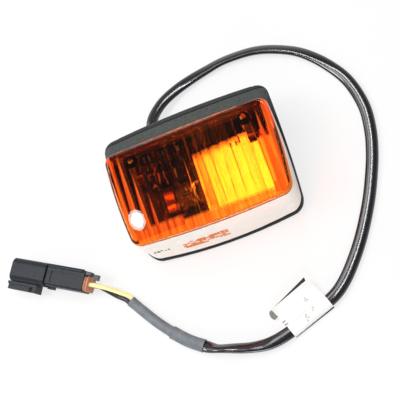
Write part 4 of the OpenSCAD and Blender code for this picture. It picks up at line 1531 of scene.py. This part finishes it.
@dataclass(frozen=True)
class DashBlock:
    """A block of raised plain dashes in rows, some missing, with lengths and widths that its seed varies."""

    name: str
    stock: Stock
    middle_mm: tuple[float, float]
    columns: int
    rows: int
    column_gap_mm: float
    row_gap_mm: float
    dash_mm: float
    bar_mm: float
    seed: int
    proud_mm: float = 0.34
    missing: float = 0.2
    least_size: Point = (0.45, 0.7, 1.0)
    most_size: Point = (1.3, 1.3, 1.0)

    def inputs(self) -> dict[str, object]:
        """Work out what goes into the node tree.

        Returns:
            The inputs by name, with lengths in metres.
        """
        return {"Columns": self.columns, "Rows": self.rows, "Column gap": self.column_gap_mm * MM,
                "Row gap": self.row_gap_mm * MM, "Dash length": self.dash_mm * MM,
                "Dash width": self.bar_mm * MM, "Dash height": self.proud_mm * MM, "Seed": self.seed,
                "Material": RACK.get(self.stock)}

    def tree(self) -> bpy.types.NodeTree:
        """Build the node tree that sets out the dashes on a flat grid.

        Returns:
            The tree, with its counts, gaps, sizes and seed as inputs.
        """
        tree = bpy.data.node_groups.new("raised_dashes", "GeometryNodeTree")
        for name, kind in (("Columns", "Int"), ("Rows", "Int"), ("Column gap", "Float"), ("Row gap", "Float"),
                           ("Dash length", "Float"), ("Dash width", "Float"), ("Dash height", "Float"),
                           ("Seed", "Int"), ("Material", "Material")):
            tree.interface.new_socket(name, in_out="INPUT", socket_type=f"NodeSocket{kind}")
        tree.interface.new_socket("Geometry", in_out="OUTPUT", socket_type="NodeSocketGeometry")
        given = add_node(tree, "NodeGroupInput").outputs

        def reach(count: str, gap: str) -> bpy.types.NodeSocket:
            """Work out how long a row is from its first dash to its last.

            Args:
                count: the name of the input that counts its dashes.
                gap: the name of the input for the distance between two.

            Returns:
                A socket with the length.
            """
            fewer = add_node(tree, "ShaderNodeMath", {"operation": "SUBTRACT", 1: 1.0}, {0: given[count]})
            return add_node(tree, "ShaderNodeMath", {"operation": "MULTIPLY"},
                            {0: fewer.outputs[0], 1: given[gap]}).outputs[0]

        grid = add_node(tree, "GeometryNodeMeshGrid", None,
                        {"Size X": reach("Columns", "Column gap"), "Size Y": reach("Rows", "Row gap"),
                         "Vertices X": given["Columns"], "Vertices Y": given["Rows"]})
        spots = add_node(tree, "GeometryNodeMeshToPoints", None, {"Mesh": grid.outputs["Mesh"]})
        gone = add_node(tree, "FunctionNodeRandomValue",
                        {"data_type": "BOOLEAN", "Probability": self.missing}, {"Seed": given["Seed"]})
        thin = add_node(tree, "GeometryNodeDeleteGeometry", {"domain": "POINT"},
                        {"Geometry": spots.outputs[0], "Selection": gone.outputs[3]})
        size = add_node(tree, "ShaderNodeCombineXYZ", None,
                        {"X": given["Dash length"], "Y": given["Dash width"], "Z": given["Dash height"]})
        bar = add_node(tree, "GeometryNodeMeshCube", {"Vertices X": 2, "Vertices Y": 2, "Vertices Z": 2},
                       {"Size": size.outputs[0]})
        stretch = add_node(tree, "FunctionNodeRandomValue",
                           {"data_type": "FLOAT_VECTOR", 0: self.least_size, 1: self.most_size},
                           {"Seed": given["Seed"]})
        copies = add_node(tree, "GeometryNodeInstanceOnPoints", None,
                          {"Points": thin.outputs[0], "Instance": bar.outputs["Mesh"],
                           "Scale": stretch.outputs[0]})
        real = add_node(tree, "GeometryNodeRealizeInstances", None, {0: copies.outputs[0]})
        dressed = add_node(tree, "GeometryNodeSetMaterial", None,
                           {"Geometry": real.outputs[0], "Material": given["Material"]})
        add_node(tree, "NodeGroupOutput", None, {"Geometry": dressed.outputs[0]})
        return tree

    def build(self, wall_y: Callable[[float, float], float]) -> bpy.types.Object:
        """Make the block and wrap it onto the lens's lower wall.

        Args:
            wall_y: a function that gives the wall's outside from the place across the lens and up.

        Returns:
            The piece.
        """
        marks = run_tree(self.name, self.tree(), self.inputs())
        for vertex in marks.data.vertices:
            x, z = vertex.co.x / MM + self.middle_mm[0], vertex.co.y / MM + self.middle_mm[1]
            vertex.co = Vector((x, wall_y(x, z) - vertex.co.z / MM, z)) * MM
        marks.data.flip_normals()
        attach(marks, "root")
        return marks


@dataclass
class Lens:
    """The amber lens, with plain raised dashes on its lower wall."""

    # The lower wall's outside, at the lens's foot and at its front
    half_w_mm: float = 42.6
    foot_half_w_mm: float = 43.3
    foot_y_mm: float = -31.7
    foot_bow_mm: float = 3.1
    front_y_mm: float = -30.59
    front_bow_mm: float = 1.5
    foot_z_mm: float = 2.4
    front_z_mm: float = 41.8
    # Which faces are flutes, which of them are shallow, and which are side walls
    sharp_deg: float = 24.0
    flute_z_mm: float = 30.0
    flute_tilt: float = -0.5
    shallow_mm: tuple[float, float] = (-14.0, 34.0)
    side_x_mm: float = 40.5
    side_y_mm: tuple[float, float] = (-28.5, 16.5)
    side_tilt: float = 0.3
    middle_y_mm: float = -6.0
    # The marks: their middles are given across the lens and up
    blocks: tuple[DashBlock, ...] = (
        DashBlock("lens_marks", Stock.RAISED_PMMA, (-9.0, 15.5), columns=12, rows=5, column_gap_mm=2.1,
                  row_gap_mm=1.7, dash_mm=2.2, bar_mm=1.15, seed=5),
        DashBlock("lens_marks_small", Stock.DARK_MARK, (-33.2, 17.1), columns=5, rows=2, column_gap_mm=1.9,
                  row_gap_mm=1.3, dash_mm=1.3, bar_mm=0.6, seed=3),
    )

    def wall_y(self, x: float, z: float) -> float:
        """Find the outside of the lower wall, which bows less towards the front.

        Args:
            x: the place across the lens, in millimetres.
            z: the place up from its foot, in millimetres.

        Returns:
            The wall's place along Y, in millimetres.
        """
        low = self.foot_y_mm - self.foot_bow_mm * (1 - (x / self.foot_half_w_mm) ** 2)
        high = self.front_y_mm - self.front_bow_mm * (1 - (x / self.half_w_mm) ** 2)
        return low + (high - low) * (z - self.foot_z_mm) / (self.front_z_mm - self.foot_z_mm)

    def fluted(self, face: bpy.types.MeshPolygon) -> bool:
        """Say whether a face is on the fluted inside of the front."""
        return face.normal.z < self.flute_tilt and face.center.z > self.flute_z_mm * MM

    def walled(self, face: bpy.types.MeshPolygon) -> bool:
        """Say whether a face is on the outside of a side wall.

        Args:
            face: the face.

        Returns:
            True if it stands steeply, near a side, and looks away from the lens's middle.
        """
        centre = face.center / MM
        low, high = self.side_y_mm
        outer = abs(centre.x) > self.side_x_mm or centre.y < low or centre.y > high
        outward = face.normal.x * centre.x + face.normal.y * (centre.y - self.middle_y_mm) > 0
        return outer and outward and abs(face.normal.z) < self.side_tilt

    def shell(self) -> bpy.types.Object:
        """Make the lens: clear front, fluted inside, satin side walls with painted glare.

        Returns:
            The piece.
        """
        lens = solid_copy("lens", "amber_lens", Stock.AMBER_PMMA, 0.0, self.sharp_deg, merge_flat=False,
                          facet=self.fluted)
        satin = RACK.add(lens, Stock.SATIN_GLARE_PMMA)
        deep = RACK.add(lens, Stock.DEEP_FLUTES)
        shallow = RACK.add(lens, Stock.SHALLOW_FLUTES)
        left, right = self.shallow_mm
        for face in lens.data.polygons:
            if self.walled(face):
                face.material_index = satin
            elif self.fluted(face):
                face.material_index = shallow if left < face.center.x / MM < right else deep
        return lens

    def build(self) -> list[bpy.types.Object]:
        """Build the lens and its marks.

        Returns:
            The pieces.
        """
        return [self.shell(), *(block.build(self.wall_y) for block in self.blocks)]


@dataclass
class Lamp:
    """Housing, seal, reflector, bulb and the small parts inside and behind."""

    # Radii put on edges, and the angles from which an edge stays sharp
    edge_mm: float = 0.3
    edge_deg: float = 22.0
    small_edge_mm: float = 0.15
    round_deg: float = 40.0
    # Where the housing's front tier begins, and how far its grained face tilts
    tier_z_mm: float = 30.9
    tier_y_mm: float = 12.0
    tier_tilt: float = 0.45
    # The CAD nodes that stay as they are, and their finishes
    small_parts: dict[str, Stock] = field(default_factory=lambda: {
        "reflector_screws": Stock.ZINC_STEEL, "bulb_holder": Stock.MOULDED_ABS,
        "bulb_cap": Stock.TURNED_BRASS, "bulb_filament": Stock.TUNGSTEN,
        "live_contact": Stock.TURNED_BRASS, "earth_contact": Stock.TURNED_BRASS,
        "lens_screws": Stock.ZINC_STEEL, "mount_inserts": Stock.TURNED_BRASS,
        "cable_clamp": Stock.MOULDED_ABS, "clamp_screws": Stock.ZINC_STEEL,
        "flex_tail": Stock.GLOSSY_PVC, "live_lead": Stock.YELLOW_PVC, "earth_lead": Stock.BLACK_PVC,
        "cable_grommet": Stock.BLACK_RUBBER})

    def housing(self) -> bpy.types.Object:
        """Make the housing, smooth behind and grained on the face of its front tier.

        Returns:
            The piece.
        """
        housing = solid_copy("housing", "lamp_housing", Stock.MOULDED_ABS, self.edge_mm, self.edge_deg)
        grained = RACK.add(housing, Stock.GRAINED_ABS)
        for face in housing.data.polygons:
            centre = face.center / MM
            if face.normal.z > self.tier_tilt and centre.z > self.tier_z_mm and centre.y > self.tier_y_mm:
                face.material_index = grained
        return housing

    def build(self) -> list[bpy.types.Object]:
        """Build the lamp's pieces, and dress the CAD nodes that stay as they are.

        Returns:
            The pieces and the nodes.
        """
        made = [
            self.housing(),
            solid_copy("lens_gasket", "lens_seal", Stock.BLACK_RUBBER, 0.0, self.round_deg),
            solid_copy("reflector", "metallised_reflector", Stock.METALLISED, self.small_edge_mm),
            solid_copy("bulb_glass", "bulb_globe", Stock.CLEAR_GLASS, 0.0, self.round_deg),
        ]
        for node, stock in self.small_parts.items():
            RACK.dress(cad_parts[node], stock)
            made.append(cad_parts[node])
        return made


def report(assembly: str, pieces: list[bpy.types.Object]) -> None:
    """Log each piece of a sub-assembly.

    Args:
        assembly: the sub-assembly's name.
        pieces: its pieces.
    """
    for piece in pieces:
        log.info("%s: %s, %d faces", assembly, piece.name, len(piece.data.polygons))


def main() -> None:
    """Build the scene in order and report each piece."""
    logging.basicConfig(level=logging.INFO)
    studio = Studio()
    studio.build()
    log.info("studio: camera, floor and %d lamps", len(studio.lamps))
    tag = Tag().build()
    report("tag", tag)
    connector = Connector().build()
    report("connector", connector)
    report("lead", Lead().build([*connector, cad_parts["cable_grommet"]], tag))
    report("lamp", Lamp().build())
    report("lens", Lens().build())


if __name__ == "__main__":
    main()
